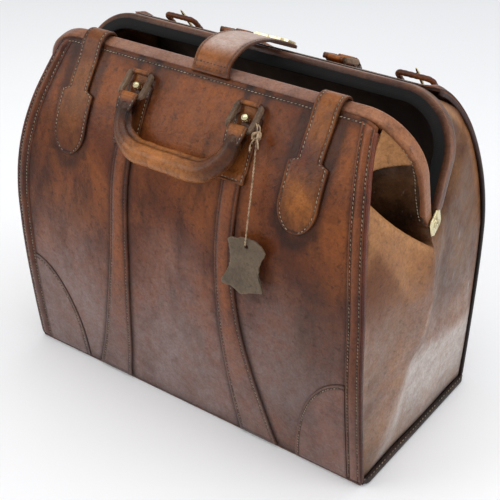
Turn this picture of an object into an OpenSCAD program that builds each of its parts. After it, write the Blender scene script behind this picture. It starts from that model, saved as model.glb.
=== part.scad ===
// Gladstone bag standing open, millimetres, +Z up, front towards -Y.
// The origin is on the ground under the middle of the base.

/* [Bag] */
// Width of the base
bag_w = 430; // [400:1:460]
// Half of the depth of the base
base_half_d = 107; // [98:1:114]
// How far the walls swell past the base
swell = 13.5; // [8:0.5:18]
// Height at which the walls are fullest
swell_z = 165; // [150:1:180]
// How much wider the mouth hardware stands than the top of the panels
top_inset = 31; // [26:1:36]
// Thickness of the panel hide
hide_t = 3; // [2:0.25:3.5]
// Thickness of the thinner leather sewn on top
trim_t = 2.2; // [1.6:0.1:2.6]
// Thickness of the gusset leather
gusset_t = 1.8; // [1.4:0.1:2.2]
// Side shift of the handle, straps and strips
trim_x = -3; // [-6:0.5:6]

/* [Mouth] */
// Height of the hinge line
hinge_z = 255; // [250:1:260]
// Place of the hinge line, front to back
hinge_y = -18; // [-22:1:-12]
// Reach of a jaw above the hinge line
jaw_r = 113; // [108:1:116]
// Half of the width over the jaws
jaw_half_w = 220.5; // [217:0.5:222]
// Outer corner radius of a jaw
jaw_corner = 58; // [50:1:64]
// Thickness of a covered jaw, front to back
jaw_t = 12.5; // [11:0.5:14]
// Depth of a covered jaw, from rim to lining
jaw_h = 16; // [14:0.5:19]
// Lean of the front jaw as it stands
lean_front = 14.5; // [12:0.5:18]
// Lean of the rear jaw as it stands
lean_rear = 19.5; // [17:0.5:23]
// Width of the steel strip in a jaw
steel_w = 9; // [8:0.5:10]
// Thickness of the steel strip
steel_t = 2; // [1.5:0.1:2.5]
// Radius of a hinge pin
pin_r = 2.5; // [2:0.1:3]
// Radial clearance of a pin in its bore
pin_fit = 0.05; // [0.02:0.01:0.1]

/* [Handles] */
// Distance between the two rings of a handle
ring_gap = 128; // [120:1:136]
// Outer width of a ring
ring_w = 30; // [28:0.5:33]
// Distance between the two bars of a ring
ring_len = 26; // [24:0.5:29]
// Radius of a ring's round bars
ring_r = 2.2; // [1.8:0.1:2.5]
// Width of a ring's side bars
ring_side = 4; // [3:0.25:5]
// Outer radius of the leather rolled round a ring bar
roll_r = 4.3; // [4:0.1:4.8]
// Drop of the grip below the ring bar
grip_drop = 50; // [44:1:54]
// Thickness of the grip at its middle
grip_mid = 22; // [20:0.5:24]
// Thickness of the grip at its ends
grip_end = 17; // [15:0.5:19]

/* [Straps] */
// Distance between the two closing straps
strap_gap = 274; // [262:1:284]
// Width of a strap
strap_w = 26; // [22:1:29]
// Width of the paddle at a strap's sewn end
paddle_w = 42; // [36:1:46]
// Distance between the two buckles behind
buckle_gap = 286; // [278:1:292]
// Side shift of the buckles
buckle_x = 3; // [-4:0.5:6]
// Length of a strap's free end inside the mouth
strap_tail = 120; // [90:1:140]
// Width of the middle tab
tab_w = 44; // [38:1:48]
// Place of the middle tab, side to side
tab_x = 5; // [0:1:8]

/* [Hidden] */
$fn = 32;

gap = 0.3;
seam_gap = 0.4;
floor_t = 3;
steps = 12;
FRONT = -1;
REAR = 1;

// A point on a cubic curve through four control points
function bez(p, t) = pow(1 - t, 3) * p[0] + 3 * t * pow(1 - t, 2) * p[1]
  + 3 * t * t * (1 - t) * p[2] + pow(t, 3) * p[3];
function mix(a, b, t) = a * (1 - t) + b * t;
function flip(list) = [for (i = [len(list) - 1 : -1 : 0]) list[i]];

// Side profile of a wall as [distance from the middle, height], both walls outwards positive
swell_d = base_half_d + swell;
function lean(side) = side == FRONT ? lean_front : lean_rear;
function hinge_d(side) = side * hinge_y;
function rim_out(side) = [hinge_d(side) + jaw_r * sin(lean(side)) + jaw_t * cos(lean(side)),
  hinge_z + jaw_r * cos(lean(side)) - jaw_t * sin(lean(side))];
function wall_top(side) = rim_out(side) + [hide_t * 0.8 + seam_gap, -0.4];
function low_ctrl(side) = [[base_half_d, floor_t], [base_half_d + swell / 2, 55],
  [swell_d, swell_z - 50], [swell_d, swell_z]];
front_shares = [0.4084, 0.6484];
rear_shares = [0.2709, 0.8856];
function high_ctrl(side) = let (rise = wall_top(side)[1] - swell_z) side == FRONT
  ? [[swell_d, swell_z], [swell_d + 1.5, swell_z + front_shares[0] * rise],
     [swell_d - 6.5, swell_z + front_shares[1] * rise], wall_top(side)]
  : [[swell_d, swell_z], [swell_d, swell_z + rear_shares[0] * rise],
     [swell_d - 2.5, swell_z + rear_shares[1] * rise], wall_top(side)];
function wall_curve(side) = concat(
  [for (i = [0 : steps - 1]) bez(low_ctrl(side), i / steps)],
  [for (i = [0 : steps]) bez(high_ctrl(side), i / steps)]);
function line_dir(c, i) = let (a = c[max(i - 1, 0)], b = c[min(i + 1, len(c) - 1)])
  (b - a) / norm(b - a);
function line_shift(c, d) = [for (i = [0 : len(c) - 1])
  let (t = line_dir(c, i)) c[i] + d * [-t[1], t[0]]];
front_wall = wall_curve(FRONT);
rear_wall = wall_curve(REAR);
function wall(side) = side == FRONT ? front_wall : rear_wall;
function wall_table(side) = [for (p = wall(side)) [p[1], p[0]]];
front_table = wall_table(FRONT);
rear_table = wall_table(REAR);
function wall_d(side, z) = lookup(z, side == FRONT ? front_table : rear_table);
function wall_tilt(side, z) = atan((wall_d(side, z - 4) - wall_d(side, z + 4)) / 8);

// Half width of the panels at a height
rim_z = hinge_z + jaw_r;
panel_top_z = rim_z - 10;
side_low = [bag_w / 2, floor_t];
side_mid = [bag_w / 2 - 2, swell_z + 25];
side_ctrl = [side_mid, [bag_w / 2 - 5, hinge_z], [bag_w / 2 - 15, panel_top_z - 68],
  [bag_w / 2 - top_inset, panel_top_z]];
side_curve = concat([side_low], [for (i = [0 : steps]) bez(side_ctrl, i / steps)]);
side_table = [for (p = side_curve) [p[1], p[0]]];
function side_w(z) = lookup(z, side_table);
base_corner_r = 5;

// Everything between two offsets from a wall's outer face, over the full width
module wall_skin(side, from, to) {
  pts = concat(line_shift(wall(side), -to), flip(line_shift(wall(side), -from)));
  rotate([90, 0, 90])
    linear_extrude(bag_w + 20, center = true)
      polygon([for (p = pts) [side * p[0], p[1]]]);
}

// A flat outline in X and Z, pushed through the front or rear half
module outline_through(side) {
  mirror([0, side == FRONT ? 1 : 0, 0])
    rotate([90, 0, 0])
      mirror([0, 0, 1])
        linear_extrude(swell_d + 30)
          children();
}

module on_wall(side, from, to) {
  intersection() {
    wall_skin(side, from, to);
    outline_through(side) children();
  }
}

module panel_outline(inset = 0) {
  half = concat([[side_w(floor_t) - inset - base_corner_r, floor_t]],
    [[side_w(floor_t) - inset, floor_t + base_corner_r]],
    [for (i = [1 : len(side_curve) - 1]) side_curve[i] - [inset, 0]],
    [[side_curve[len(side_curve) - 1][0] - inset, panel_top_z + 30]]);
  polygon(concat(half, [for (p = flip(half)) [-p[0], p[1]]]));
}

module wall_panel(side) {
  color("saddlebrown")
    on_wall(side, -hide_t, 0) panel_outline();
}

// A raised rolled bead along each side edge of a panel
bead_w = 7;
bead_in = 5;
bead_t = 1.6;
module edge_beads(side) {
  color("sienna")
    on_wall(side, 0, bead_t)
      intersection() {
        difference() {
          panel_outline(bead_in);
          panel_outline(bead_in + bead_w);
        }
        translate([-bag_w / 2, floor_t + 4]) square([bag_w, panel_top_z - 20]);
      }
}

// A strip from the handle chape down to the base, flaring as it goes
strip_top_z = rim_z - 78;
strip_waist_z = swell_z + 60;
strip_foot_z = 6;
strip_waist_w = 21;
strip_foot_w = 46;
strip_foot_out = 34;
function strip_flare(z) = pow(max(0, (strip_waist_z - z) / strip_waist_z), 1.7);
function strip_x(z) = ring_gap / 2 + strip_foot_out * strip_flare(z);
function strip_w_at(z) = mix(strip_waist_w, strip_foot_w, strip_flare(z));
module side_strip(side, hand) {
  heights = [for (i = [0 : steps]) mix(strip_foot_z, strip_top_z, i / steps)];
  left = [for (z = heights) [strip_x(z) - strip_w_at(z) / 2, z]];
  right = [for (z = flip(heights)) [strip_x(z) + strip_w_at(z) / 2, z]];
  color("brown")
    translate([trim_x, 0, 0])
      on_wall(side, 0, trim_t)
        scale([hand, 1]) polygon(concat(left, right));
}

// A quarter-round patch over each lower corner of a panel
patch_w = 64;
patch_h = 121;
module corner_patches(side) {
  color("brown")
    on_wall(side, 0, trim_t * 0.7)
      intersection() {
        panel_outline(bead_in + bead_w + 0.5);
        for (hand = [-1, 1])
          translate([hand * (bag_w / 2 - bead_in - bead_w), floor_t])
            scale([patch_w / patch_h, 1])
              circle(r = patch_h, $fn = 48);
        translate([-bag_w / 2, floor_t + 2]) square([bag_w, patch_h + 20]);
      }
}

// Base
module base_board() {
  color("dimgray")
    translate([-bag_w / 2 + 8, -base_half_d + 7, floor_t])
      cube([bag_w - 16, 2 * base_half_d - 14, 3]);
}

module bottom_leather() {
  color("saddlebrown")
    translate([-bag_w / 2 + 1, -base_half_d, 0])
      cube([bag_w - 2, 2 * base_half_d, floor_t]);
}

welt_w = 5;
welt_h = 6;
module base_welt() {
  color("black")
    for (hand = [-1, 1])
      translate([hand * (bag_w / 2 + welt_w / 2 - 1), 0, welt_h / 2])
        cube([welt_w, 2 * base_half_d - 2, welt_h], center = true);
}

// Stiff lining of the lower half
tub_in = 10;
tub_t = 2;
tub_h = 180;
module lining_tub() {
  half_w = bag_w / 2 - tub_in;
  half_d = base_half_d - 6;
  color("black")
    translate([0, 0, floor_t + 3])
      difference() {
        translate([-half_w, -half_d, 0]) cube([2 * half_w, 2 * half_d, tub_h]);
        translate([-half_w + tub_t, -half_d + tub_t, tub_t])
          cube([2 * (half_w - tub_t), 2 * (half_d - tub_t), tub_h]);
      }
}

// Hanging lining between the tub and a jaw
lining_in = hide_t + gap;
lining_t = 1.2;
lining_half_w = 150;
module hanging_lining(side) {
  color("black")
    intersection() {
      wall_skin(side, -lining_in - lining_t, -lining_in);
      outline_through(side)
        translate([-lining_half_w, floor_t + 3 + tub_h + gap])
          square([2 * lining_half_w, panel_top_z - 22 - (floor_t + 3 + tub_h)]);
    }
}

// Everything in here is drawn in a jaw's own frame: Y out from its meeting face, Z up its legs
module jaw_place(side) {
  translate([0, hinge_y, hinge_z])
    rotate([side * -lean(side), 0, 0])
      mirror([0, side == FRONT ? 1 : 0, 0])
        children();
}

module jaw_arch(half_w, top, corner, foot) {
  translate([-half_w, foot]) square([2 * half_w, top - corner - foot]);
  translate([-half_w + corner, top - corner]) square([2 * (half_w - corner), corner]);
  for (hand = [-1, 1])
    translate([hand * (half_w - corner), top - corner])
      intersection() {
        circle(r = corner, $fn = 72);
        translate([-corner, 0]) square([2 * corner, corner]);
      }
}

leg_foot = 9;
module jaw_band(outer_in, inner_in, foot) {
  difference() {
    jaw_arch(jaw_half_w - outer_in, jaw_r - outer_in, jaw_corner - outer_in, foot);
    jaw_arch(jaw_half_w - inner_in, jaw_r - inner_in, jaw_corner - inner_in, foot - 1);
  }
}

module jaw_slab(from, to) {
  translate([0, to, 0])
    rotate([90, 0, 0])
      linear_extrude(to - from)
        children();
}

steel_cover = 3.7;
function steel_in(side) = side == FRONT ? steel_cover : steel_cover + steel_t + 0.8;
lug_r = 6.5;
lug_neck = 6;
module jaw_steel(side, foot) {
  start = (jaw_t - steel_w) / 2;
  jaw_slab(start, start + steel_w) jaw_band(steel_in(side), steel_in(side) + steel_t, foot);
}

// Steel strip bent to the jaw's arch, with a lug round the pin at each end
module jaw_frame(side) {
  color("dimgray")
    jaw_place(side)
      difference() {
        union() {
          jaw_steel(side, leg_foot - 2);
          for (hand = [-1, 1])
            translate([hand * (jaw_half_w - steel_in(side) - steel_t / 2), 0, 0]) {
              rotate([0, 90, 0]) cylinder(r = lug_r, h = steel_t, center = true);
              translate([-steel_t / 2, -lug_neck / 3, 0]) cube([steel_t, lug_neck, leg_foot - 0.6]);
            }
        }
        for (hand = [-1, 1])
          translate([hand * jaw_half_w, 0, 0])
            rotate([0, 90, 0])
              cylinder(r = pin_r + pin_fit, h = 40, center = true);
      }
}

module jaw_cover(side) {
  color("sienna")
    jaw_place(side)
      difference() {
        jaw_slab(0.15, jaw_t) jaw_band(0, jaw_h, leg_foot);
        jaw_steel(side, leg_foot - 2);
      }
}

// Hinge pins and the six-sided brass plates over them
plate_x = jaw_half_w + 1.5;
plate_t = 1.5;
module hinge_pins() {
  color("gold")
    for (hand = [-1, 1])
      translate([hand * plate_x, hinge_y, hinge_z])
        rotate([0, hand * 90, 0]) {
          translate([0, 0, -12]) cylinder(r = pin_r, h = 12 + plate_t);
          translate([0, 0, plate_t]) cylinder(r = pin_r + 1.5, h = 1);
          translate([0, 0, -12]) cylinder(r = pin_r + 1.5, h = 1.2);
        }
}

plate_h = 23;
plate_w = 15;
module hinge_plates() {
  color("gold")
    for (hand = [-1, 1])
      translate([hand * (plate_x + (hand > 0 ? 0 : plate_t)), hinge_y, hinge_z])
        rotate([90, 0, 90])
          linear_extrude(plate_t)
            difference() {
              polygon([[-3, plate_h / 2], [3, plate_h / 2], [plate_w / 2, 1], [3, -plate_h / 2],
                [-3, -plate_h / 2], [-plate_w / 2, 1]]);
              circle(r = pin_r);
            }
}

// Gussets: up from the base to a ridge, over it into a pocket, then up to the jaws
ridge_edge_z = hinge_z + 46;
ridge_mid_z = hinge_z - 26;
pocket_in = [52, 12];
pocket_drop = [34, 6];
function pick(list, side) = list[side == FRONT ? 0 : 1];
gusset_edge_in = 2;
gusset_cols = 8;
lower_rows = 6;
fold_rows = 3;
upper_rows = 6;
gusset_rows = lower_rows + fold_rows + upper_rows;
attach_start = 66;
attach_in = 2;
apex_x = jaw_half_w - 0.9;

function gusset_edge(side, z) = [side_w(z) - gusset_edge_in,
  side * (wall_d(side, z) - hide_t - gap * 2), z];
gusset_mid_table = [[0, bag_w / 2 - 3], [120, bag_w / 2 - 4], [ridge_mid_z, apex_x + 2.4],
  [hinge_z, apex_x]];
function gusset_mid(z) = [lookup(z, gusset_mid_table), hinge_y, z];
function ridge_z(u) = mix(ridge_edge_z, ridge_mid_z, u);
function lower_pt(side, u, q) = let (z = mix(floor_t + 1, ridge_z(u), q))
  mix(gusset_edge(side, z), gusset_mid(z), u);
function pocket(u) = pow(sin(180 * u), 0.8);
function pocket_pt(side, u) = let (z = ridge_z(u) + mix(8, 7, u))
  mix(gusset_edge(side, z), gusset_mid(z), u)
    - pocket(u) * [pick(pocket_in, side), 0, pick(pocket_drop, side)];

// The line where a gusset is sewn to a jaw, u from the top corner to the hinge
arc_len = (jaw_corner - attach_in) * attach_start * PI / 180;
leg_len = jaw_r - jaw_corner - leg_foot;
foot_len = (arc_len + leg_len) / (gusset_cols - 1);
foot_ease = 0.6;
function jaw_world(side, x, out, s) = [x,
  hinge_y + side * (out * cos(lean(side)) + s * sin(lean(side))),
  hinge_z + s * cos(lean(side)) - out * sin(lean(side))];
function attach_pt(side, u) = let (l = u * (arc_len + leg_len + foot_len),
  out = jaw_t + seam_gap + foot_ease * max(0, min(1, (l - arc_len) / leg_len)))
  l < arc_len
    ? let (a = attach_start * (1 - l / arc_len), r = jaw_corner - attach_in)
      jaw_world(side, jaw_half_w - jaw_corner + r * cos(a), out, jaw_r - jaw_corner + r * sin(a))
    : l < arc_len + leg_len
      ? jaw_world(side, jaw_half_w - attach_in, out, leg_foot + leg_len - (l - arc_len))
      : let (k = (l - arc_len - leg_len) / foot_len)
        mix(jaw_world(side, jaw_half_w - attach_in, out, leg_foot), gusset_mid(hinge_z - 8), k);
function upper_pt(side, u, q) = let (a = pocket_pt(side, 0), b = attach_pt(side, 0),
  straight = mix(pocket_pt(side, u), attach_pt(side, u), q), z = mix(a[2], b[2], q))
  straight + pow(1 - u, 3) * (1 - q) * (gusset_edge(side, z) - mix(a, b, q));
function gusset_pt(side, u, row) = row <= lower_rows
  ? lower_pt(side, u, row / lower_rows)
  : row <= lower_rows + fold_rows
    ? mix(lower_pt(side, u, 1), pocket_pt(side, u), (row - lower_rows) / fold_rows)
    : upper_pt(side, u, (row - lower_rows - fold_rows) / upper_rows);
// The inner face lies a leather's thickness away, turning with the fold
function turn_at(row) = row < lower_rows ? 0
  : row == lower_rows ? 58
  : row < lower_rows + fold_rows ? 110
  : row == lower_rows + fold_rows ? 80
  : 45;
pocket_turn = [1, 0.15];
function inward(side, u, row) = let (a = turn_at(row) * min(1, 2.2 * pocket(u)) * pick(pocket_turn, side))
  gusset_t * [-cos(a), 0, -sin(a)];
gusset_list = concat([for (i = [0 : gusset_cols]) [FRONT, i / gusset_cols]],
  [for (i = [gusset_cols - 1 : -1 : 0]) [REAR, i / gusset_cols]]);

module gusset(hand) {
  cols = len(gusset_list);
  rows = gusset_rows + 1;
  outer = [for (c = gusset_list) for (r = [0 : gusset_rows]) gusset_pt(c[0], c[1], r)];
  inner = [for (c = gusset_list) for (r = [0 : gusset_rows])
    gusset_pt(c[0], c[1], r) + inward(c[0], c[1], r)];
  n = cols * rows;
  quads = [for (c = [0 : cols - 2]) for (r = [0 : rows - 2])
    [c * rows + r, (c + 1) * rows + r, (c + 1) * rows + r + 1, c * rows + r + 1]];
  rim = concat([for (c = [0 : cols - 1]) c * rows],
    [for (r = [1 : rows - 1]) (cols - 1) * rows + r],
    [for (c = [cols - 2 : -1 : 0]) c * rows + rows - 1],
    [for (r = [rows - 2 : -1 : 1]) r]);
  faces = concat(
    [for (q = quads) for (f = [[q[0], q[1], q[2]], [q[0], q[2], q[3]]]) flip(f)],
    [for (q = quads) for (f = [[q[0], q[1], q[2]], [q[0], q[2], q[3]]]) [for (k = f) k + n]],
    [for (i = [0 : len(rim) - 1]) let (a = rim[i], b = rim[(i + 1) % len(rim)])
      for (f = [[a, b, b + n], [a, b + n, a + n]]) f]);
  color("peru")
    mirror([hand > 0 ? 0 : 1, 0, 0])
      polyhedron(points = concat(outer, inner), faces = faces, convexity = 8);
}

// Handles: the chape's upper roll holds the ring, the ring's lower bar holds the grip
ring_top_z = rim_z - 22;
ring_lift = 5.2;
chape_foot_z = strip_top_z - 2;
chape_w = 30;
chape_step = 8;
function ring_axis(side) = let (c = wall_d(side, ring_top_z), a = wall_tilt(side, ring_top_z))
  [side * (c + ring_lift * cos(a)), ring_top_z + ring_lift * sin(a)];
ring_hang = [48, 68];
function ring_angle(side) = side == FRONT ? ring_hang[0] : ring_hang[1];
module at_ring(side, hand) {
  translate([trim_x + hand * ring_gap / 2, ring_axis(side)[0], ring_axis(side)[1]])
    rotate([side * (ring_angle(side)), 0, 0])
      children();
}

module bar_along_x(r, len) {
  rotate([0, 90, 0]) cylinder(r = r, h = len, center = true);
}

roll_w = ring_w - 2 * ring_side - 2 * gap;
module ring(side, hand) {
  color("darkgoldenrod")
    at_ring(side, hand) {
      bar_along_x(ring_r, ring_w - 1);
      translate([0, 0, -ring_len]) bar_along_x(ring_r, ring_w - 1);
      for (k = [-1, 1])
        translate([k * (ring_w / 2 - ring_side / 2), 0, -ring_len / 2])
          cube([ring_side, 2 * ring_r, ring_len + 2 * ring_r], center = true);
    }
}

module chape(side, hand) {
  color("saddlebrown")
    difference() {
      union() {
        translate([trim_x, 0, 0])
          on_wall(side, trim_t + gap, trim_t + gap + trim_t)
            translate([hand * ring_gap / 2 - chape_w / 2, chape_foot_z - chape_step / 2])
              square([chape_w, chape_step]);
        translate([trim_x, 0, 0])
          on_wall(side, gap, trim_t + gap + 0.1)
            translate([hand * ring_gap / 2 - chape_w / 2, strip_top_z + 0.6])
              square([chape_w, ring_top_z + 3 - strip_top_z]);
        at_ring(side, hand) bar_along_x(roll_r, roll_w);
      }
      at_ring(side, hand) {
        bar_along_x(ring_r + pin_fit, 60);
        translate([0, 0, -ring_len]) bar_along_x(roll_r + 1, 60);
        for (k = [-1, 1])
          translate([k * (ring_w / 2 - ring_side / 2), 0, 0])
            rotate([0, 90, 0])
              cylinder(r = ring_r + 4, h = ring_side + 2 * gap, center = true);
      }
    }
}

stud_r = 3.4;
stud_z = [ring_top_z - 11, ring_top_z - 8];
module studs(side) {
  off = trim_t + gap + 1;
  z = side == FRONT ? stud_z[0] : stud_z[1];
  a = wall_tilt(side, z);
  color("gold")
    for (hand = [-1, 1])
      translate([trim_x + hand * ring_gap / 2, side * (wall_d(side, z) + off * cos(a)), z + off * sin(a)])
        rotate([side * -(90 - a), 0, 0]) {
          cylinder(r = 2, h = 2.4);
          translate([0, 0, 3]) sphere(r = stud_r, $fn = 24);
        }
}

// Grip: a rolled leather bow, built in the plane that hangs from the rings' lower bars
grip_hang = [34, 44];
module at_grip(side) {
  a = ring_angle(side);
  hang = ring_len * [side * sin(a), -cos(a)];
  translate([trim_x, ring_axis(side)[0] + hang[0], ring_axis(side)[1] + hang[1]])
    rotate([side * (side == FRONT ? grip_hang[0] : grip_hang[1]), 0, 0])
      children();
}

grip_half = ring_gap / 2;
grip_bend = 26;
grip_low = grip_drop - 2;
neck_z = 8;
core_r = 3.5;

module bow_half(mid_r, end_r, top) {
  translate([0, 0, -grip_low]) rotate([0, 90, 0]) cylinder(r = mid_r, h = grip_half - grip_bend);
  translate([grip_half - grip_bend, 0, -grip_low + grip_bend])
    rotate([90, 0, 0])
      rotate([0, 0, -90])
        rotate_extrude(angle = 90)
          translate([grip_bend, 0]) circle(r = mid_r);
  translate([grip_half, 0, -grip_low + grip_bend])
    cylinder(r1 = mid_r, r2 = end_r, h = grip_low - grip_bend - top);
}

module bow(mid_r, end_r, top) {
  for (hand = [0, 1])
    mirror([hand, 0, 0]) bow_half(mid_r, end_r, top);
}

module grip_rolls(r, len) {
  for (hand = [-1, 1])
    translate([hand * grip_half, 0, 0]) bar_along_x(r, len);
}

module grip(side) {
  color("saddlebrown")
    at_grip(side)
      difference() {
        union() {
          bow(grip_mid / 2, grip_end / 2, neck_z);
          grip_rolls(roll_r, roll_w);
          for (hand = [-1, 1])
            translate([hand * grip_half - roll_w / 2 + 1, -3, -neck_z - 1])
              cube([roll_w - 2, 6, neck_z - 1]);
        }
        bow(core_r, core_r, neck_z - 4);
        grip_rolls(ring_r + pin_fit, 40);
      }
}

module grip_core(side) {
  color("burlywood")
    at_grip(side) bow(core_r, core_r, neck_z - 4);
}

// Closing straps: paddle sewn to the panel, then over the front jaw
paddle_tip_z = rim_z - 110;
paddle_round = paddle_w / 2;
shoulder_z = rim_z - 50;
module paddle_outline() {
  translate([0, paddle_tip_z + paddle_round * 1.25])
    scale([1, 1.25]) circle(r = paddle_round);
  translate([-paddle_w / 2, paddle_tip_z + paddle_round * 1.25])
    square([paddle_w, shoulder_z - paddle_tip_z - paddle_round * 1.25]);
  translate([-strap_w / 2, shoulder_z - 1])
    square([strap_w, 60]);
}

strap_t = 2.6;
lip_in = 14;
strap_reach = 1.6;
strap_rise = 0.6;
module strap(hand) {
  x = trim_x + hand * strap_gap / 2;
  color("peru") {
    translate([x, 0, 0])
      on_wall(FRONT, gap, gap + strap_t) paddle_outline();
    jaw_place(FRONT)
      translate([x, 0, 0])
        difference() {
          translate([-strap_w / 2, -strap_t, jaw_r - lip_in])
            cube([strap_w, strap_t + jaw_t + hide_t + strap_reach, lip_in + strap_t]);
          translate([-strap_w, 0, jaw_r - lip_in - 1])
            cube([2 * strap_w, jaw_t, lip_in + 1]);
          translate([-strap_w, jaw_t - 1, jaw_r - lip_in - 1])
            cube([2 * strap_w, 20, lip_in + 1 + strap_rise]);
        }
  }
}

// The free end of a strap hangs inside the mouth
tail_lean = 2;
module strap_tail_place(hand) {
  jaw_place(FRONT)
    translate([trim_x + hand * strap_gap / 2, -strap_t / 2, jaw_r - lip_in - strap_t / 2 - gap])
      rotate([-(lean_front + tail_lean), 0, 0])
        children();
}

module strap_tail(hand) {
  color("peru")
    strap_tail_place(hand)
      difference() {
        union() {
          bar_along_x(strap_t / 2, strap_w);
          translate([-strap_w / 2, -strap_t / 2, -strap_tail])
            cube([strap_w, strap_t, strap_tail]);
          translate([0, 0, -strap_tail])
            rotate([90, 0, 0])
              cylinder(r = strap_w / 2, h = strap_t, center = true);
        }
        for (i = [0 : 3])
          translate([0, 0, -strap_tail + 8 + i * 18])
            rotate([90, 0, 0])
              cylinder(r = 2, h = 20, center = true);
      }
}

// Middle tab, arched over the mouth onto the rear jaw
tab_t = 3;
tab_root_out = 2;
tab_root_up = 2.3;
tab_root = jaw_world(FRONT, 0, jaw_t + tab_root_out, jaw_r + tab_root_up);
tab_far = rim_out(REAR) + [20.5, -3.5];
tab_ctrl = [[tab_root[1], tab_root[2]], [tab_root[1] + 6, tab_root[2] + 24],
  tab_far + [-66, 38], tab_far];
tab_line = [for (i = [0 : steps]) bez(tab_ctrl, i / steps)];
module tab_slab(from, to, first, w) {
  part = [for (i = [first : steps]) i];
  upper = line_shift(tab_line, to);
  lower = line_shift(tab_line, from);
  translate([tab_x, 0, 0])
    rotate([90, 0, 90])
      linear_extrude(w, center = true)
        polygon(concat([for (i = part) upper[i]], [for (i = flip(part)) lower[i]]));
}

module center_tab() {
  color("sienna") {
    tab_slab(0, tab_t, 0, tab_w);
    translate([tab_x, tab_root[1], tab_root[2]]) bar_along_x(tab_t / 2 + 0.2, tab_w);
  }
}

module tab_plate() {
  color("gold")
    tab_slab(tab_t, tab_t + 1.4, steps - 1, tab_w - 3);
}

// Buckles of the closing straps, on the rear wall
buckle_z = rim_z - 42;
buckle_w = 44;
buckle_len = 27;
buckle_r = 2.8;
buckle_lift = 5.6;
buckle_turn = 132;
function buckle_axis() = let (a = wall_tilt(REAR, buckle_z))
  [wall_d(REAR, buckle_z) + buckle_lift * cos(a), buckle_z + buckle_lift * sin(a)];
module at_buckle(hand) {
  translate([buckle_x + hand * buckle_gap / 2, buckle_axis()[0], buckle_axis()[1]])
    children();
}

buckle_chape_len = 46;
module buckle_chape(hand) {
  color("saddlebrown")
    difference() {
      union() {
        translate([buckle_x + hand * buckle_gap / 2, 0, 0])
          on_wall(REAR, gap, gap + trim_t)
            translate([-strap_w / 2, buckle_z - buckle_chape_len])
              square([strap_w, buckle_chape_len]);
        at_buckle(hand) bar_along_x(buckle_r + 2, strap_w);
      }
      at_buckle(hand) {
        bar_along_x(buckle_r + pin_fit, 60);
        cube([7, 30, 30], center = true);
      }
    }
}

module buckle(hand) {
  color("dimgray")
    at_buckle(hand)
      rotate([buckle_turn, 0, 0]) {
        bar_along_x(buckle_r, buckle_w);
        translate([0, buckle_len, 0]) bar_along_x(buckle_r, buckle_w);
        for (k = [-1, 1])
          translate([k * (buckle_w / 2 - buckle_r), buckle_len / 2, 0])
            rotate([90, 0, 0]) cylinder(r = buckle_r, h = buckle_len + 2 * buckle_r, center = true);
      }
}

prong_r = 1.6;
prong_lift = 3.2;
prong_rest = 4;
module prong(hand) {
  color("gold")
    at_buckle(hand)
      rotate([buckle_turn - prong_rest, 0, 0])
        difference() {
          union() {
            bar_along_x(buckle_r + 2, 5.5);
            translate([0, 0, -prong_lift])
              rotate([-90, 0, 0]) cylinder(r = prong_r, h = buckle_len + 5);
          }
          bar_along_x(buckle_r + pin_fit, 20);
        }
}

// Slip lock for the tab's plate, low on the rear wall
lock_top_z = rim_z - 78;
lock_h = 34;
lock_w = 36;
lock_t = 8;
module lock_place() {
  z = lock_top_z - lock_h / 2;
  a = wall_tilt(REAR, z);
  translate([tab_x, wall_d(REAR, z), z])
    rotate([a, 0, 0])
      children();
}

lock_wall = 2;
slide_travel = 5;
slide_w = 7.4;
slide_h = 9.4;
module lock_case() {
  color("gold")
    lock_place()
      difference() {
        translate([-lock_w / 2, gap, -lock_h / 2]) cube([lock_w, lock_t, lock_h]);
        translate([-lock_w / 2 + 5, gap + lock_wall, lock_h / 2 - 12])
          cube([lock_w - 10, 3.4, 13]);
        translate([-slide_w / 2 - gap, gap + lock_wall, -lock_h / 2 + 3])
          cube([slide_w + 2 * gap, lock_t, slide_h + slide_travel + 2 * gap]);
      }
}

module lock_slide() {
  color("gold")
    lock_place()
      translate([-slide_w / 2, gap + lock_wall + gap, -lock_h / 2 + 3 + gap])
        cube([slide_w, lock_t, slide_h]);
}

// Swing tag on a doubled string from the right ring
tag_hole = [90, ring_top_z - 110];
tag_off = 4;
tag_t = 2;
tag_y = -(wall_d(FRONT, tag_hole[1] - 21) + tag_off);
tag_tilt = 2;
tag_shape = [[-17, 2], [-10, 0], [-3, 5], [4, 6], [11, 4], [21, -10], [16, -18], [15, -26], [22, -45],
  [8, -44], [-2, -54], [-12, -50], [-14, -44], [-24, -40], [-16, -22]];
module tag() {
  color("dimgray")
    translate([tag_hole[0], tag_y, tag_hole[1]])
      rotate([90 - tag_tilt, 0, 0])
        linear_extrude(tag_t)
          difference() {
            polygon(tag_shape);
            circle(r = 2);
          }
}

knot_r = 6;
knot_round = 5.2;
knot_at = trim_x + ring_gap / 2 + ring_w / 2 + knot_r + gap;
knot_down = 21;
function knot_mid() = [knot_at, ring_axis(FRONT)[0] - knot_down * sin(ring_angle(FRONT)),
  ring_axis(FRONT)[1] - knot_down * cos(ring_angle(FRONT))];
module tag_knot() {
  color("burlywood")
    translate(knot_mid()) {
      bar_along_x(knot_round, 2 * knot_r);
      bar_along_x(knot_r, knot_r);
    }
}

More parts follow.
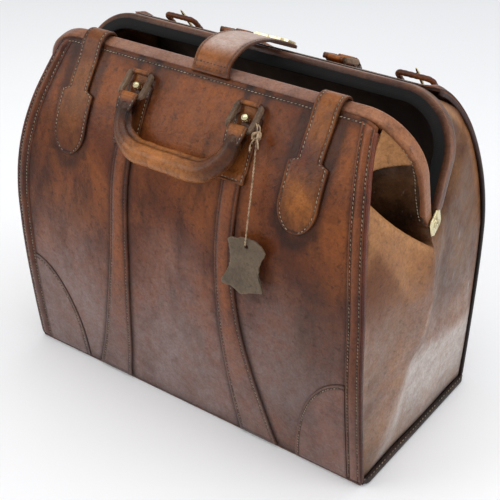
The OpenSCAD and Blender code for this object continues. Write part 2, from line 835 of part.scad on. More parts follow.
string_r = 1;
string_pts = [[83, -97, 330], [85, -102, 320], [88, -109, 304], [90, -117, 284],
  [91, -123, 262], [90, -126.7, 238]];
module tag_string() {
  n = len(string_pts);
  sides = 8;
  pts = [for (p = string_pts) for (k = [0 : sides - 1])
    p + string_r * [cos(360 * k / sides), sin(360 * k / sides), 0]];
  walls = [for (i = [0 : n - 2]) for (k = [0 : sides - 1]) let (m = (k + 1) % sides)
    [i * sides + k, i * sides + m, (i + 1) * sides + m, (i + 1) * sides + k]];
  skin = [for (w = walls) for (f = [[w[0], w[1], w[2]], [w[0], w[2], w[3]]]) f];
  ends = [[for (k = [sides - 1 : -1 : 0]) k], [for (k = [0 : sides - 1]) (n - 1) * sides + k]];
  color("burlywood")
    polyhedron(points = pts, faces = concat(skin, ends));
}

base_board();
bottom_leather();
base_welt();
wall_panel(FRONT);  // front_panel
wall_panel(REAR);  // rear_panel
gusset(-1);  // gusset_left
gusset(1);  // gusset_right
edge_beads(FRONT);  // front_edge_beads
edge_beads(REAR);  // rear_edge_beads
side_strip(FRONT, -1);  // front_strip_left
side_strip(FRONT, 1);  // front_strip_right
side_strip(REAR, -1);  // rear_strip_left
side_strip(REAR, 1);  // rear_strip_right
corner_patches(FRONT);  // front_corner_patches
corner_patches(REAR);  // rear_corner_patches
lining_tub();
hanging_lining(FRONT);  // front_lining
hanging_lining(REAR);  // rear_lining
hinge_pins();
hinge_plates();
jaw_frame(FRONT);  // front_frame
jaw_cover(FRONT);  // front_jaw_cover
jaw_frame(REAR);  // rear_frame
jaw_cover(REAR);  // rear_jaw_cover
strap(-1);  // strap_left
strap(1);  // strap_right
strap_tail(-1);  // strap_tail_left
strap_tail(1);  // strap_tail_right
center_tab();
tab_plate();
chape(FRONT, -1);  // front_chape_left
chape(FRONT, 1);  // front_chape_right
studs(FRONT);  // front_studs
ring(FRONT, -1);  // front_ring_left
ring(FRONT, 1);  // front_ring_right
grip(FRONT);  // front_grip
grip_core(FRONT);  // front_grip_core
chape(REAR, -1);  // rear_chape_left
chape(REAR, 1);  // rear_chape_right
studs(REAR);  // rear_studs
ring(REAR, -1);  // rear_ring_left
ring(REAR, 1);  // rear_ring_right
grip(REAR);  // rear_grip
grip_core(REAR);  // rear_grip_core
buckle_chape(-1);  // buckle_chape_left
buckle_chape(1);  // buckle_chape_right
buckle(-1);  // buckle_left
buckle(1);  // buckle_right
prong(-1);  // prong_left
prong(1);  // prong_right
lock_case();
lock_slide();
tag();
tag_string();
tag_knot();
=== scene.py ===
import bpy
import math
import numpy as np
from mathutils import Matrix, Vector


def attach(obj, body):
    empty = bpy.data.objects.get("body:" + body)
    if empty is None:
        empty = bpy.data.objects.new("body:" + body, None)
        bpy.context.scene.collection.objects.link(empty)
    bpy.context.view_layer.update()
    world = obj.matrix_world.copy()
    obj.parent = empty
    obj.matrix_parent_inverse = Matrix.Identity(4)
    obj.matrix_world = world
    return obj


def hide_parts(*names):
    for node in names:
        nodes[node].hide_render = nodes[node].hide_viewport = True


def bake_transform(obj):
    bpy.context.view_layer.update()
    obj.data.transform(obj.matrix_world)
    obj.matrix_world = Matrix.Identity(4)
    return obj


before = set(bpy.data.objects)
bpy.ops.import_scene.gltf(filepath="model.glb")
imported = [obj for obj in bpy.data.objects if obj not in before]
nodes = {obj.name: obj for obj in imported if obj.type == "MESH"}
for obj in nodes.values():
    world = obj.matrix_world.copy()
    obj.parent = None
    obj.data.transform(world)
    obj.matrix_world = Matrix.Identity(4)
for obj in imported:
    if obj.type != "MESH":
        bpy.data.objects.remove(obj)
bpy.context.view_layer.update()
mm = 0.001
front = -1
rear = 1
print("frame loaded")


# camera, worked out from the bag's edges in the photograph: metres, and millimetres for the lens
view = {"place": (0.58695, -0.79674, 0.73115), "lens": 77.72, "sensor": 36, "near": 0.01, "far": 50,
        "right": (0.8070, 0.5905, 0.0), "up": (-0.3031, 0.4142, 0.8582), "ahead": (-0.5068, 0.6926, -0.5133)}


def makeCamera():
    # the camera's three axes are its right, its up and the way back from what it looks at
    data = bpy.data.cameras.new("viewCamera")
    data.lens = view["lens"]
    data.sensor_width = view["sensor"]
    data.clip_start = view["near"]
    data.clip_end = view["far"]
    cam = bpy.data.objects.new("viewCamera", data)
    bpy.context.scene.collection.objects.link(cam)
    right, up, ahead = (Vector(view[k]).normalized() for k in ("right", "up", "ahead"))
    turn = Matrix((right, up, -ahead)).transposed().to_4x4()
    turn.translation = Vector(view["place"])
    cam.matrix_world = turn
    bpy.context.scene.camera = cam


# short ways to add and join nodes
def linear(r, g, b):
    # eye values from 0 to 255 to the shader's own scale: the power 2.4 curve, straight near black
    v = np.array([r, g, b], float) / 255
    v = np.where(v <= 0.04045, v / 12.92, ((v + 0.055) / 1.055) ** 2.4)
    return (float(v[0]), float(v[1]), float(v[2]), 1.0)


class tree:
    def __init__(self, nodeTree):
        self.t = nodeTree

    def add(self, kind, **values):
        n = self.t.nodes.new(kind)
        for k, v in values.items():
            setattr(n, k, v)
        return n

    def put(self, socket, value):
        if isinstance(value, bpy.types.NodeSocket):
            self.t.links.new(value, socket)
        else:
            socket.default_value = value

    def math(self, op, a, b=None, clamp=False):
        n = self.add("ShaderNodeMath", operation=op, use_clamp=clamp)
        self.put(n.inputs[0], a)
        if b is not None:
            self.put(n.inputs[1], b)
        return n.outputs[0]

    def times(self, a, b, clamp=False):
        return self.math("MULTIPLY", a, b, clamp)

    def plus(self, a, b, clamp=False):
        return self.math("ADD", a, b, clamp)

    def mix(self, factor, a, b):
        n = self.add("ShaderNodeMix", data_type="RGBA")
        self.put(n.inputs[0], factor)
        self.put(n.inputs[6], a)
        self.put(n.inputs[7], b)
        return n.outputs[2]

    def range(self, value, low, high, outLow=0.0, outHigh=1.0, smooth=True):
        # low to high becomes outLow to outHigh, held flat outside them
        n = self.add("ShaderNodeMapRange", interpolation_type="SMOOTHSTEP" if smooth else "LINEAR")
        for socket, v in zip(n.inputs, (value, low, high, outLow, outHigh)):
            self.put(socket, v)
        return n.outputs[0]

    def noise(self, vector, scale, detail=3.0, rough=0.5, twist=0.0):
        n = self.add("ShaderNodeTexNoise")
        for key, v in (("Vector", vector), ("Scale", scale), ("Detail", detail), ("Roughness", rough),
                       ("Distortion", twist)):
            self.put(n.inputs[key], v)
        return n.outputs["Fac"]

    def cells(self, vector, scale):
        n = self.add("ShaderNodeTexVoronoi", feature="SMOOTH_F1")
        self.put(n.inputs["Vector"], vector)
        self.put(n.inputs["Scale"], scale)
        return n.outputs["Distance"]

    def attribute(self, name):
        return self.add("ShaderNodeAttribute", attribute_name=name, attribute_type="GEOMETRY").outputs["Fac"]

    def turned(self, vector, scale, turn=(0, 0, 0)):
        n = self.add("ShaderNodeMapping")
        for key, v in (("Vector", vector), ("Scale", scale), ("Rotation", turn)):
            self.put(n.inputs[key], v)
        return n.outputs[0]

    def place(self, scale=(1, 1, 1), turn=(0, 0, 0)):
        return self.turned(self.add("ShaderNodeTexCoord").outputs["Object"], scale, turn)

    def bump(self, height, strength, distance):
        n = self.add("ShaderNodeBump")
        for key, v in (("Height", height), ("Strength", strength), ("Distance", distance)):
            self.put(n.inputs[key], v)
        return n.outputs[0]

    def seen(self):
        # 1 where a thing is seen directly, in a mirror or through glass
        path = self.add("ShaderNodeLightPath").outputs
        direct = self.plus(path["Is Camera Ray"], path["Is Glossy Ray"])
        return self.plus(direct, path["Is Transmission Ray"], True)


# lamps: place and aim in metres, width and height, watts and colour
light = {"world": 0.54, "room": 0.74, "worldColour": (0.97, 0.98, 1.0),
         "lamps": {"topLamp": ((0.1, -0.1, 1.9), (0, 0, 0.1), (1.8, 1.4), 14.5, (1, 1, 1)),
                   "leftLamp": ((-1.3, -1.5, 1.3), (0, 0, 0.15), (1.2, 1.2), 10.4, (1, 1, 1)),
                   "rightLamp": ((1.9, 0.5, 0.8), (0.1, 0, 0.15), (1.1, 1.1), 10, (0.96, 0.98, 1)),
                   "backLamp": ((-0.2, 1.9, 1.4), (0, 0, 0.25), (1.6, 0.8), 5, (1, 1, 1))}}


def areaLamp(name, place, aim, size, power, colour):
    # a flat lamp whose own -Z looks along the line from its place to its aim
    data = bpy.data.lights.new(name, "AREA")
    data.shape = "RECTANGLE"
    data.size, data.size_y = size
    data.energy = power
    data.color = colour
    lamp = bpy.data.objects.new(name, data)
    bpy.context.scene.collection.objects.link(lamp)
    lamp.location = place
    lamp.rotation_mode = "QUATERNION"
    lamp.rotation_quaternion = (Vector(aim) - Vector(place)).to_track_quat("-Z", "Y")


def makeLight():
    # the room looks paler than the light it gives: world + seen * (room - world)
    scene = bpy.context.scene
    scene.view_settings.view_transform = "Standard"
    scene.world = bpy.data.worlds.new("softRoom")
    scene.world.use_nodes = True
    t = tree(scene.world.node_tree)
    room = t.t.nodes["Background"]
    room.inputs["Color"].default_value = (*light["worldColour"], 1)
    lift = t.add("ShaderNodeMath", operation="MULTIPLY_ADD")
    for socket, v in zip(lift.inputs, (t.seen(), light["room"] - light["world"], light["world"])):
        t.put(socket, v)
    t.put(room.inputs["Strength"], lift.outputs[0])
    for name, lamp in light["lamps"].items():
        areaLamp(name, *lamp)


# materials
def newGroup(name, scales, results):
    # a node group that takes a vector and some scales and gives plain numbers
    g = bpy.data.node_groups.new(name, "ShaderNodeTree")
    g.interface.new_socket("Vector", in_out="INPUT", socket_type="NodeSocketVector")
    for key in scales:
        g.interface.new_socket(key, in_out="INPUT", socket_type="NodeSocketFloat")
    for key in results:
        g.interface.new_socket(key, in_out="OUTPUT", socket_type="NodeSocketFloat")
    t = tree(g)
    return t, t.add("NodeGroupInput").outputs, t.add("NodeGroupOutput").inputs


def hideGroup():
    # pebbled grain, soft folds, wide stains, streaks that run down, specks, pale scuffs and fine scratches
    t, given, gives = newGroup("agedHide", ("Grain Scale", "Fold Scale"),
                               ("Height", "Stain", "Mottle", "Streak", "Fine", "Speck", "Scuff", "Scratch"))
    v = given["Vector"]
    pebble = t.range(t.cells(v, given["Grain Scale"]), 0.0, 0.55, 1.0, 0.0, False)
    fine = t.noise(v, t.times(given["Grain Scale"], 0.45), 3, 0.6)
    folds = t.noise(v, given["Fold Scale"], 4, 0.55, 0.6)
    ridged = t.range(t.math("ABSOLUTE", t.math("SUBTRACT", folds, 0.5)), 0.0, 0.10)
    grain = t.plus(t.times(pebble, 0.26), t.times(fine, 0.30))
    down = t.turned(v, (1.0, 1.0, 0.30))
    wide, thin = t.noise(down, 24.0, 5, 0.6, 0.8), t.noise(down, 95.0, 4, 0.6, 0.5)
    streaks = t.plus(t.times(wide, 0.72), t.times(thin, 0.28))
    long = t.turned(v, (1.0, 1.0, 0.22), (0.35, 0.2, 0.5))
    t.put(gives["Height"], t.plus(grain, t.times(ridged, 0.75)))
    t.put(gives["Stain"], t.range(t.noise(v, 12.0, 5, 0.62, 0.6), 0.38, 0.64))
    t.put(gives["Mottle"], t.range(t.noise(v, 84.0, 5, 0.62), 0.30, 0.72))
    t.put(gives["Streak"], t.range(streaks, 0.44, 0.70))
    t.put(gives["Fine"], t.range(fine, 0.35, 0.65))
    t.put(gives["Speck"], t.range(t.noise(v, 185.0, 5, 0.72, 0.4), 0.50, 0.72))
    t.put(gives["Scuff"], t.range(t.noise(v, 210.0, 4, 0.7, 0.3), 0.66, 0.76))
    t.put(gives["Scratch"], t.range(t.noise(long, 330.0, 2, 0.5), 0.70, 0.80))


def metalGroup():
    # spots and dull patches on old metal
    t, given, gives = newGroup("oldMetal", ("Scale",), ("Tarnish", "Height"))
    wide = t.noise(given["Vector"], given["Scale"], 5, 0.65, 0.3)
    small = t.noise(given["Vector"], t.times(given["Scale"], 7.0), 3, 0.6)
    t.put(gives["Tarnish"], t.range(t.plus(wide, t.times(small, 0.25)), 0.5, 0.86))
    t.put(gives["Height"], t.plus(t.times(wide, 0.6), t.times(small, 0.4)))


def useGroup(t, name, **values):
    # the group's outputs, read at the piece's own place
    n = t.add("ShaderNodeGroup")
    n.node_tree = bpy.data.node_groups[name]
    t.put(n.inputs["Vector"], t.place())
    for k, v in values.items():
        n.inputs[k].default_value = v
    return n.outputs


def newMaterial(name):
    # a material, its tree, and its main shader's inputs
    m = bpy.data.materials.new(name)
    m.use_nodes = True
    return m, tree(m.node_tree), m.node_tree.nodes["Principled BSDF"].inputs


def leather(name, base, rubbedAndLit, dark, dustAndSheenTone, grain=900.0, fold=60.0, bump=0.5, rough=(0.32, 0.52),
            warmth=0.6, depth=0.5, coat=0.12, speck=0.42, shine=0.24):
    # base turns to the rubbed colour where worn and where light is painted, to dark in streaks, seams and
    # painted shade, and to the dusty colour where dust lies and where a reflection is painted
    m, t, shader = newMaterial(name)
    base, rubbedAndLit, dark, dustAndSheenTone = (linear(*c) for c in (base, rubbedAndLit, dark, dustAndSheenTone))
    out = useGroup(t, "agedHide", **{"Grain Scale": grain, "Fold Scale": fold})
    wearAndPaintedLight, seam, dustAndSheen = (t.attribute(key) for key in ("wearAndPaintedLight", "seam", "dustAndSheen"))

    def patchy(mask, low, high):
        return t.times(mask, t.range(out["Mottle"], 0.0, 1.0, low, high, False), True)

    def under(mask, hidden):
        return t.times(mask, t.math("SUBTRACT", 1.0, t.times(dustAndSheen, hidden)))

    c = t.mix(t.times(out["Stain"], warmth), base, rubbedAndLit)
    for share, colour in ((patchy(wearAndPaintedLight, 0.55, 1.0), rubbedAndLit),
                          (patchy(dustAndSheen, 1.0, 0.6), dustAndSheenTone),
                          (under(t.times(out["Streak"], depth), 0.75), dark),
                          (t.times(out["Fine"], 0.20), dark),
                          (under(t.times(out["Speck"], speck), 0.7), dark),
                          (patchy(seam, 0.95, 0.78), dark),
                          (t.times(out["Scuff"], 0.30), rubbedAndLit),
                          (t.times(out["Scratch"], 0.12), dustAndSheenTone)):
        c = t.mix(share, c, colour)
    t.put(shader["Base Color"], c)
    t.put(shader["Roughness"], t.range(t.plus(out["Mottle"], dustAndSheen), 0.1, 1.3, *rough))
    t.put(shader["Normal"], t.bump(out["Height"], bump, 0.00042))
    shader["Specular IOR Level"].default_value = shine
    shader["Coat Weight"].default_value = coat
    shader["Coat Roughness"].default_value = 0.22
    return m


def metal(name, colour, dull):
    # bright metal that dulls where it is tarnished
    m, t, shader = newMaterial(name)
    out = useGroup(t, "oldMetal", Scale=90.0)
    t.put(shader["Base Color"], t.mix(out["Tarnish"], linear(*colour), linear(*dull)))
    t.put(shader["Roughness"], t.range(out["Tarnish"], 0.0, 1.0, 0.2, 0.42))
    t.put(shader["Normal"], t.bump(out["Height"], 0.25, 0.0003))
    shader["Metallic"].default_value = 1.0
    return m


def thread(name, pale, grey):
    # thread or raffia, greyed in places, with fibres along it
    m, t, shader = newMaterial(name)
    greyed = t.range(t.noise(t.place(), 150.0, 4, 0.65), 0.42, 0.66)
    fibre = t.noise(t.place((1, 1, 3), (0.4, 0.7, 0.2)), 1500.0, 2, 0.6)
    t.put(shader["Base Color"], t.mix(greyed, linear(*pale), linear(*grey)))
    t.put(shader["Normal"], t.bump(fibre, 0.5, 0.0003))
    shader["Roughness"].default_value = 0.85
    return m


def cloth(name, deep, pale):
    # close woven lining, worn brown near the rim
    m, t, shader = newMaterial(name)
    v = t.place()
    bands = []
    for axis in ("X", "Z"):
        wave = t.add("ShaderNodeTexWave", wave_type="BANDS", bands_direction=axis)
        for key, value in (("Vector", v), ("Scale", 230.0), ("Distortion", 0.4)):
            t.put(wave.inputs[key], value)
        bands.append(wave.outputs["Fac"])
    c = t.mix(t.range(t.noise(v, 16.0, 4, 0.6, 0.4), 0.4, 0.7), linear(*deep), linear(*pale))
    worn = t.times(t.attribute("wearAndPaintedLight"), t.range(t.noise(v, 70.0, 4, 0.6), 0.35, 0.62), True)
    t.put(shader["Base Color"], t.mix(worn, c, linear(92, 62, 44)))
    t.put(shader["Normal"], t.bump(t.math("MAXIMUM", *bands), 0.3, 0.0004))
    shader["Roughness"].default_value = 0.88
    return m


def pulpBoard():
    m, t, shader = newMaterial("pulpBoard")
    n = t.noise(t.place((1, 1, 0.4)), 240.0, 4, 0.6)
    t.put(shader["Base Color"], t.mix(n, linear(120, 104, 84), linear(86, 72, 56)))
    t.put(shader["Normal"], t.bump(n, 0.4, 0.0004))
    shader["Roughness"].default_value = 0.9
    return m


def floorMaterial():
    # slightly darker towards the back, and where seen it is as pale as a lit studio floor
    m, t, shader = newMaterial("paleFloor")
    v = t.place()
    axes = t.add("ShaderNodeSeparateXYZ")
    t.put(axes.inputs[0], v)
    c = t.mix(t.range(t.noise(v, 1.2, 2, 0.5), 0.3, 0.7), (0.90, 0.905, 0.915, 1), (0.93, 0.935, 0.94, 1))
    t.put(shader["Base Color"], t.mix(t.range(axes.outputs[1], 0.0, 1.5), c, (0.80, 0.805, 0.82, 1)))
    t.put(shader["Emission Strength"], t.times(t.seen(), 0.095))
    shader["Emission Color"].default_value = (0.97, 0.985, 1.0, 1)
    shader["Roughness"].default_value = 0.75
    shader["Specular IOR Level"].default_value = 0.2
    return m


makeCamera()
makeLight()
hideGroup()
metalGroup()
# a hide's four colours: its base, where it is rubbed or painted lit, its streaks, seams and painted shade,
# and its dust and painted reflection
look = {
    # the panel's dusty colour is also a painted reflection of the floor on the lower wall
    "panel": leather("panelHide", (102, 52, 28), (156, 88, 42), (32, 18, 14), (154, 133, 129),
                     warmth=0.62, depth=0.72, coat=0.06, speck=0.6, shine=0.16),
    # the gusset's rubbed colour is also painted light on its lit facet and flat corner, and its dusty colour
    # a painted reflection below the crease
    "gusset": leather("gussetHide", (120, 74, 47), (196, 140, 90), (32, 22, 16), (205, 194, 188),
                      fold=42.0, rough=(0.36, 0.55), warmth=0.5, depth=0.22, coat=0.03, shine=0.15),
    "trim": leather("trimHide", (92, 48, 31), (154, 88, 48), (30, 17, 13), (142, 122, 118),
                    fold=90.0, rough=(0.26, 0.44), shine=0.18),
    "jaw": leather("jawHide", (110, 64, 44), (176, 118, 82), (40, 24, 18), (162, 136, 127),
                   fold=110.0, rough=(0.3, 0.46), depth=0.62, coat=0.1, speck=0.5, shine=0.16),
    "strap": leather("strapHide", (104, 50, 27), (180, 110, 50), (32, 17, 13), (204, 184, 174),
                     fold=70.0, rough=(0.28, 0.46), depth=0.62, coat=0.1, shine=0.17),
    "grip": leather("gripHide", (84, 47, 30), (194, 122, 62), (30, 18, 14), (118, 98, 86), grain=760.0,
                    fold=120.0, rough=(0.25, 0.44), warmth=0.52, depth=0.62, speck=0.5, shine=0.18),
    "edge": leather("edgeBlack", (30, 19, 16), (86, 52, 40), (10, 7, 7), (58, 50, 46),
                    fold=160.0, rough=(0.42, 0.6), warmth=0.3, coat=0.05),
    "rim": leather("edgeBrown", (84, 40, 28), (132, 70, 50), (30, 16, 13), (96, 78, 70),
                   fold=160.0, rough=(0.3, 0.5), coat=0.1, shine=0.18),
    "rough": leather("rawEdge", (74, 50, 38), (168, 140, 114), (36, 23, 18), (134, 116, 104),
                     grain=500.0, fold=260.0, bump=0.9, rough=(0.6, 0.85), coat=0.0, speck=0.6),
    "tag": leather("tagHide", (92, 77, 61), (134, 112, 88), (42, 32, 26), (130, 115, 98),
                   fold=80.0, rough=(0.45, 0.65), coat=0.04, speck=0.5),
    "brass": metal("brass", (222, 210, 168), (150, 134, 96)),
    "steel": metal("steel", (150, 146, 140), (84, 70, 60)),
    "thread": thread("stitchThread", (164, 145, 121), (72, 54, 43)),
    "darkThread": thread("darkThread", (96, 74, 58), (48, 34, 28)),
    "raffia": thread("raffia", (186, 158, 126), (122, 96, 72)),
    "cloth": cloth("liningCloth", (96, 84, 78), (122, 102, 90)),
    # near-black cloth for the jaws' meeting faces: painted shade inside the mouth
    "mouthShadeCloth": cloth("rimShadeCloth", (11, 9, 8), (22, 17, 15)),
    "board": pulpBoard(),
    "floor": floorMaterial(),
}
print("camera, light and materials made")


# meshes, with points in millimetres
def quadGrid(rows, cols, closeRows=False, closeCols=False):
    # one face for each cell of a grid of points; a closed grid wraps round to its start
    r, c = np.meshgrid(np.arange(rows if closeRows else rows - 1), np.arange(cols if closeCols else cols - 1),
                       indexing="ij")
    r2 = (r + 1) % rows
    c2 = (c + 1) % cols
    return np.stack([r * cols + c, r * cols + c2, r2 * cols + c2, r2 * cols + c], -1).reshape(-1, 4)


def build(name, points, quads, material, masks=None, caps=()):
    # a smooth mesh from points and faces; masks are one value for each point, caps are faces of any length
    masks = masks or {}
    mesh = bpy.data.meshes.new(name)
    p = np.asarray(points, float).reshape(-1, 3) * mm
    mesh.from_pydata(p.tolist(), [], quads.tolist() + [list(map(int, c)) for c in caps])
    mesh.update()
    mesh.polygons.foreach_set("use_smooth", [True] * len(mesh.polygons))
    for key in ("wearAndPaintedLight", "seam", "dustAndSheen"):
        a = mesh.attributes.new(key, "FLOAT", "POINT")
        values = np.broadcast_to(masks.get(key, 0.0), len(p))
        a.data.foreach_set("value", np.ascontiguousarray(values, np.float32))
    mesh.materials.append(look[material])
    o = bpy.data.objects.new(name, mesh)
    bpy.context.scene.collection.objects.link(o)
    return o


def onGrid(masks, rows, cols, copies=1):
    # masks spread over a grid and put in one row, repeated for each copy of the grid
    return {k: np.tile(np.broadcast_to(v, (rows, cols)).ravel(), copies) for k, v in (masks or {}).items()}


def outwards(points, quads, away):
    # true if the faces' normals point along away at the same places
    p = np.asarray(points, float).reshape(-1, 3)
    a, b, c = p[quads[:, 0]], p[quads[:, 1]], p[quads[:, 2]]
    n = np.cross(b - a, c - a)
    return float((n * away.reshape(-1, 3)[quads[:, 0]]).sum()) > 0


def slab(name, outer, inner, material, masks=None):
    # two matching grids of points joined round their rim into one closed shell
    rows, cols = outer.shape[:2]
    n = rows * cols
    q = quadGrid(rows, cols)
    i = np.arange(n).reshape(rows, cols)
    rim = np.concatenate([i[0, :-1], i[:-1, -1], i[-1, :0:-1], i[:0:-1, 0]])
    after = np.roll(rim, -1)
    side = np.stack([rim, after, after + n, rim + n], -1)
    faces = np.concatenate([q, q[:, ::-1] + n, side[:, ::-1]])
    if not outwards(outer, q, outer - inner):
        faces = faces[:, ::-1]
    points = np.concatenate([outer.reshape(-1, 3), inner.reshape(-1, 3)])
    piece = build(name, points, faces, material, onGrid(masks, rows, cols, 2))
    # the rim stays flat, so the faces beside it keep their own shading
    piece.data.polygons.foreach_set("use_smooth", np.arange(len(faces)) < 2 * len(q))
    return piece


def unit(v):
    # each vector divided by its own length
    return v / np.maximum(np.linalg.norm(v, axis=-1, keepdims=True), 1e-9)


def along(points):
    # unit vectors along a line of points
    return unit(np.gradient(points, axis=0))


def sweep(name, path, across, section, material, masks=None, closed=False):
    # a section carried along a path: point = path + section[0] * across + section[1] * (path's way x across)
    path = np.asarray(path, float)
    t = unit(np.roll(path, -1, 0) - np.roll(path, 1, 0)) if closed else along(path)
    a = np.broadcast_to(np.asarray(across, float), path.shape)
    a = unit(a - (a * t).sum(-1, keepdims=True) * t)
    b = np.cross(t, a)
    section = np.broadcast_to(section, (len(path),) + np.shape(section)[-2:])
    pts = path[:, None] + section[..., 0:1] * a[:, None] + section[..., 1:2] * b[:, None]
    rows, cols = pts.shape[:2]
    q = quadGrid(rows, cols, closed, True)
    ends = [np.arange(cols)[::-1], (rows - 1) * cols + np.arange(cols)]
    if not outwards(pts, q, pts - path[:, None]):
        q = q[:, ::-1]
        ends = [e[::-1] for e in ends]
    return build(name, pts, q, material, onGrid(masks, rows, cols), () if closed else ends)


def roundSection(r, n=16, flat=1.0):
    # circle of n points, flattened the other way
    a = np.linspace(0, 2 * np.pi, n, endpoint=False)
    return np.stack([r * np.cos(a), r * flat * np.sin(a)], -1)


def boxSection(w, h, r, n=4):
    # rectangle with quarter circles of r at its corners
    a = np.linspace(0, np.pi / 2, n + 1)
    pts = []
    for k, (sx, sy) in enumerate(((1, 1), (-1, 1), (-1, -1), (1, -1))):
        c = np.stack([np.cos(a + k * np.pi / 2), np.sin(a + k * np.pi / 2)], -1) * r
        pts.append(c + [sx * (w / 2 - r), sy * (h / 2 - r)])
    return np.concatenate(pts)


def rolledEdge(dist, thick, r):
    # height at a distance from an edge that is rounded over by a quarter circle of r
    d = np.clip(dist, 0, r)
    return thick - r + np.sqrt(np.maximum(r * r - (r - d) ** 2, 0))


def spread(n):
    # from -1 to 1, closer together at both ends
    return np.sin(np.linspace(-np.pi / 2, np.pi / 2, n))


def cumLength(p):
    # length along a line of points, up to each of them
    return np.concatenate([[0], np.cumsum(np.linalg.norm(np.diff(p, axis=0), axis=1))])


def follow(at, s, p):
    # the place, or any other value of p, at each length along the line
    return np.stack([np.interp(at, s, p[:, k]) for k in range(p.shape[1])], -1)


def resample(p, n):
    # n points at even steps along the line
    s = cumLength(p)
    return follow(np.linspace(0, s[-1], n), s, p)


def smoothLine(p, n, rounds=3):
    # each round cuts the corners a quarter of the way in, and the ends are kept
    p = np.asarray(p, float)
    for _ in range(rounds):
        q = np.empty((2 * len(p) - 2, p.shape[1]))
        q[0::2] = p[:-1] * 0.75 + p[1:] * 0.25
        q[1::2] = p[:-1] * 0.25 + p[1:] * 0.75
        p = np.concatenate([p[:1], q, p[-1:]])
    return resample(p, n)


# millimetres; slant and the loose shares are parts of the stitch's own length and pitch
stitch = {"pitch": 3.9, "long": 2.7, "r": 0.46, "rise": 0.08, "slant": 0.18, "round": 6,
          "rings": (0.12, 0.36, 0.64, 0.88), "loosePlace": 0.25, "looseSlant": 0.12, "length": (0.8, 1.12)}


def stitchRows(name, rows, material="thread", pitch=stitch["pitch"], size=1.0):
    # rows: (points, normals); each stitch is a small rounded grain lying along its row
    r = stitch["r"] * size
    half = stitch["long"] / 2 * size
    u = np.array(stitch["rings"])[:, None] * np.pi
    v = np.linspace(0, 2 * np.pi, stitch["round"], endpoint=False)
    rings, cols = len(u), len(v)
    each = rings * cols
    wide = np.sin(u) * r
    ring = np.stack([-np.cos(u) * half + 0 * v, wide * np.cos(v) * 1.15, wide * np.sin(v)], -1)
    ring = ring.reshape(-1, 3)[None]
    quads = quadGrid(rings, cols, False, True)
    rng = np.random.default_rng(len(name) * 7 + 3)
    pts, faces, caps, count = [], [], [], 0
    for p, n in rows:
        p, n = np.asarray(p, float), np.asarray(n, float)
        s = cumLength(p)
        at = np.arange(pitch / 2, s[-1] - pitch / 3, pitch)
        at = at + rng.uniform(-stitch["loosePlace"], stitch["loosePlace"], len(at))
        c = follow(at, s, p)
        t = unit(follow(at + 0.6, s, p) - follow(at - 0.6, s, p))
        m = unit(follow(at, s, n))
        m = unit(m - (m * t).sum(-1, keepdims=True) * t)
        b = np.cross(m, t)
        k = stitch["slant"] + rng.uniform(-stitch["looseSlant"], stitch["looseSlant"], (len(at), 1))
        t, b = unit(t + b * k), unit(b - t * k)
        long = rng.uniform(*stitch["length"], (len(at), 1, 1))
        one = (c + m * stitch["rise"])[:, None] + ring[..., 0:1] * long * t[:, None]
        one = one + ring[..., 1:2] * b[:, None] + ring[..., 2:3] * m[:, None]
        start = count + np.arange(len(at)) * each
        pts.append(one.reshape(-1, 3))
        faces.append((quads[None] + start[:, None, None]).reshape(-1, 4))
        for k0 in start:
            caps.append(list(range(k0 + cols - 1, k0 - 1, -1)))
            caps.append(list(range(k0 + each - cols, k0 + each)))
        count += len(at) * each
    q = np.concatenate(faces)
    first = pts[0][:each]
    if not outwards(first, quads, first - first.mean(0)):
        q, caps = q[:, ::-1], [c[::-1] for c in caps]
    return build(name, np.concatenate(pts), q, material, caps=caps)


# the bag's own shape, in millimetres and degrees
bag = {"baseHalf": 107.0, "swell": 13.5, "swellZ": 165.0, "hide": 3.0, "trim": 2.2, "shift": -3.0}
jaw = {"y": -18.0, "z": 255.0, "reach": 113.0, "half": 220.5, "corner": 58.0, "thick": 12.5, "deep": 16.0,
       "foot": 9.0, "showFoot": 1.5, "lean": {front: 14.5, rear: 19.5}}


def bezier(ctrl, t):
    # cubic curve through four control points
    t, p = np.asarray(t, float)[..., None], np.asarray(ctrl, float)
    return (1 - t) ** 3 * p[0] + 3 * t * (1 - t) ** 2 * p[1] + 3 * t * t * (1 - t) * p[2] + t ** 3 * p[3]


def jawPoint(side, x, out, up):
    # a point in a jaw's own frame (out from its meeting face, up its legs) turned by the lean about the pins
    a = math.radians(jaw["lean"][side])
    x, out, up = np.broadcast_arrays(np.asarray(x, float), out, up)
    y = jaw["y"] + side * (out * math.cos(a) + up * math.sin(a))
    z = jaw["z"] + up * math.cos(a) - out * math.sin(a)
    return np.stack([x, y, z], -1)


def wallTable(side):
    # a wall's height, distance from the middle, normal and length: two cubic curves that meet at the swell
    top = jawPoint(side, 0, jaw["thick"], jaw["reach"])
    foot = bag["baseHalf"]
    w = foot + bag["swell"]
    z = bag["swellZ"]
    end = (side * top[1] + bag["hide"] * 0.8 + 0.4, top[2] - 0.4)
    upper = {front: [(w, z), (w + 1.5, z + 80), (w - 6.5, z + 127), end],
             rear: [(w, z), (w, z + 52), (w - 2.5, z + 170), end]}
    low = bezier([(foot, 3), (foot + bag["swell"] / 2, 55), (w, z - 50), (w, z)], np.linspace(0, 1, 160))
    high = bezier(upper[side], np.linspace(0, 1, 240))
    p = np.concatenate([low, high[1:]])
    t = along(p)
    return {"z": p[:, 1], "d": p[:, 0], "nd": t[:, 1], "nz": -t[:, 0], "s": cumLength(p)}


walls = {s: wallTable(s) for s in (front, rear)}


def sideTable():
    # the panels' edge: straight from the base up, then a cubic curve in to the jaw
    p = bezier([(213, 190), (210, 255), (200, 290), (184, 358)], np.linspace(0, 1, 120))
    p = np.concatenate([[[215, 3]], p])
    return p[:, 1], p[:, 0]


sideZ, sideX = sideTable()


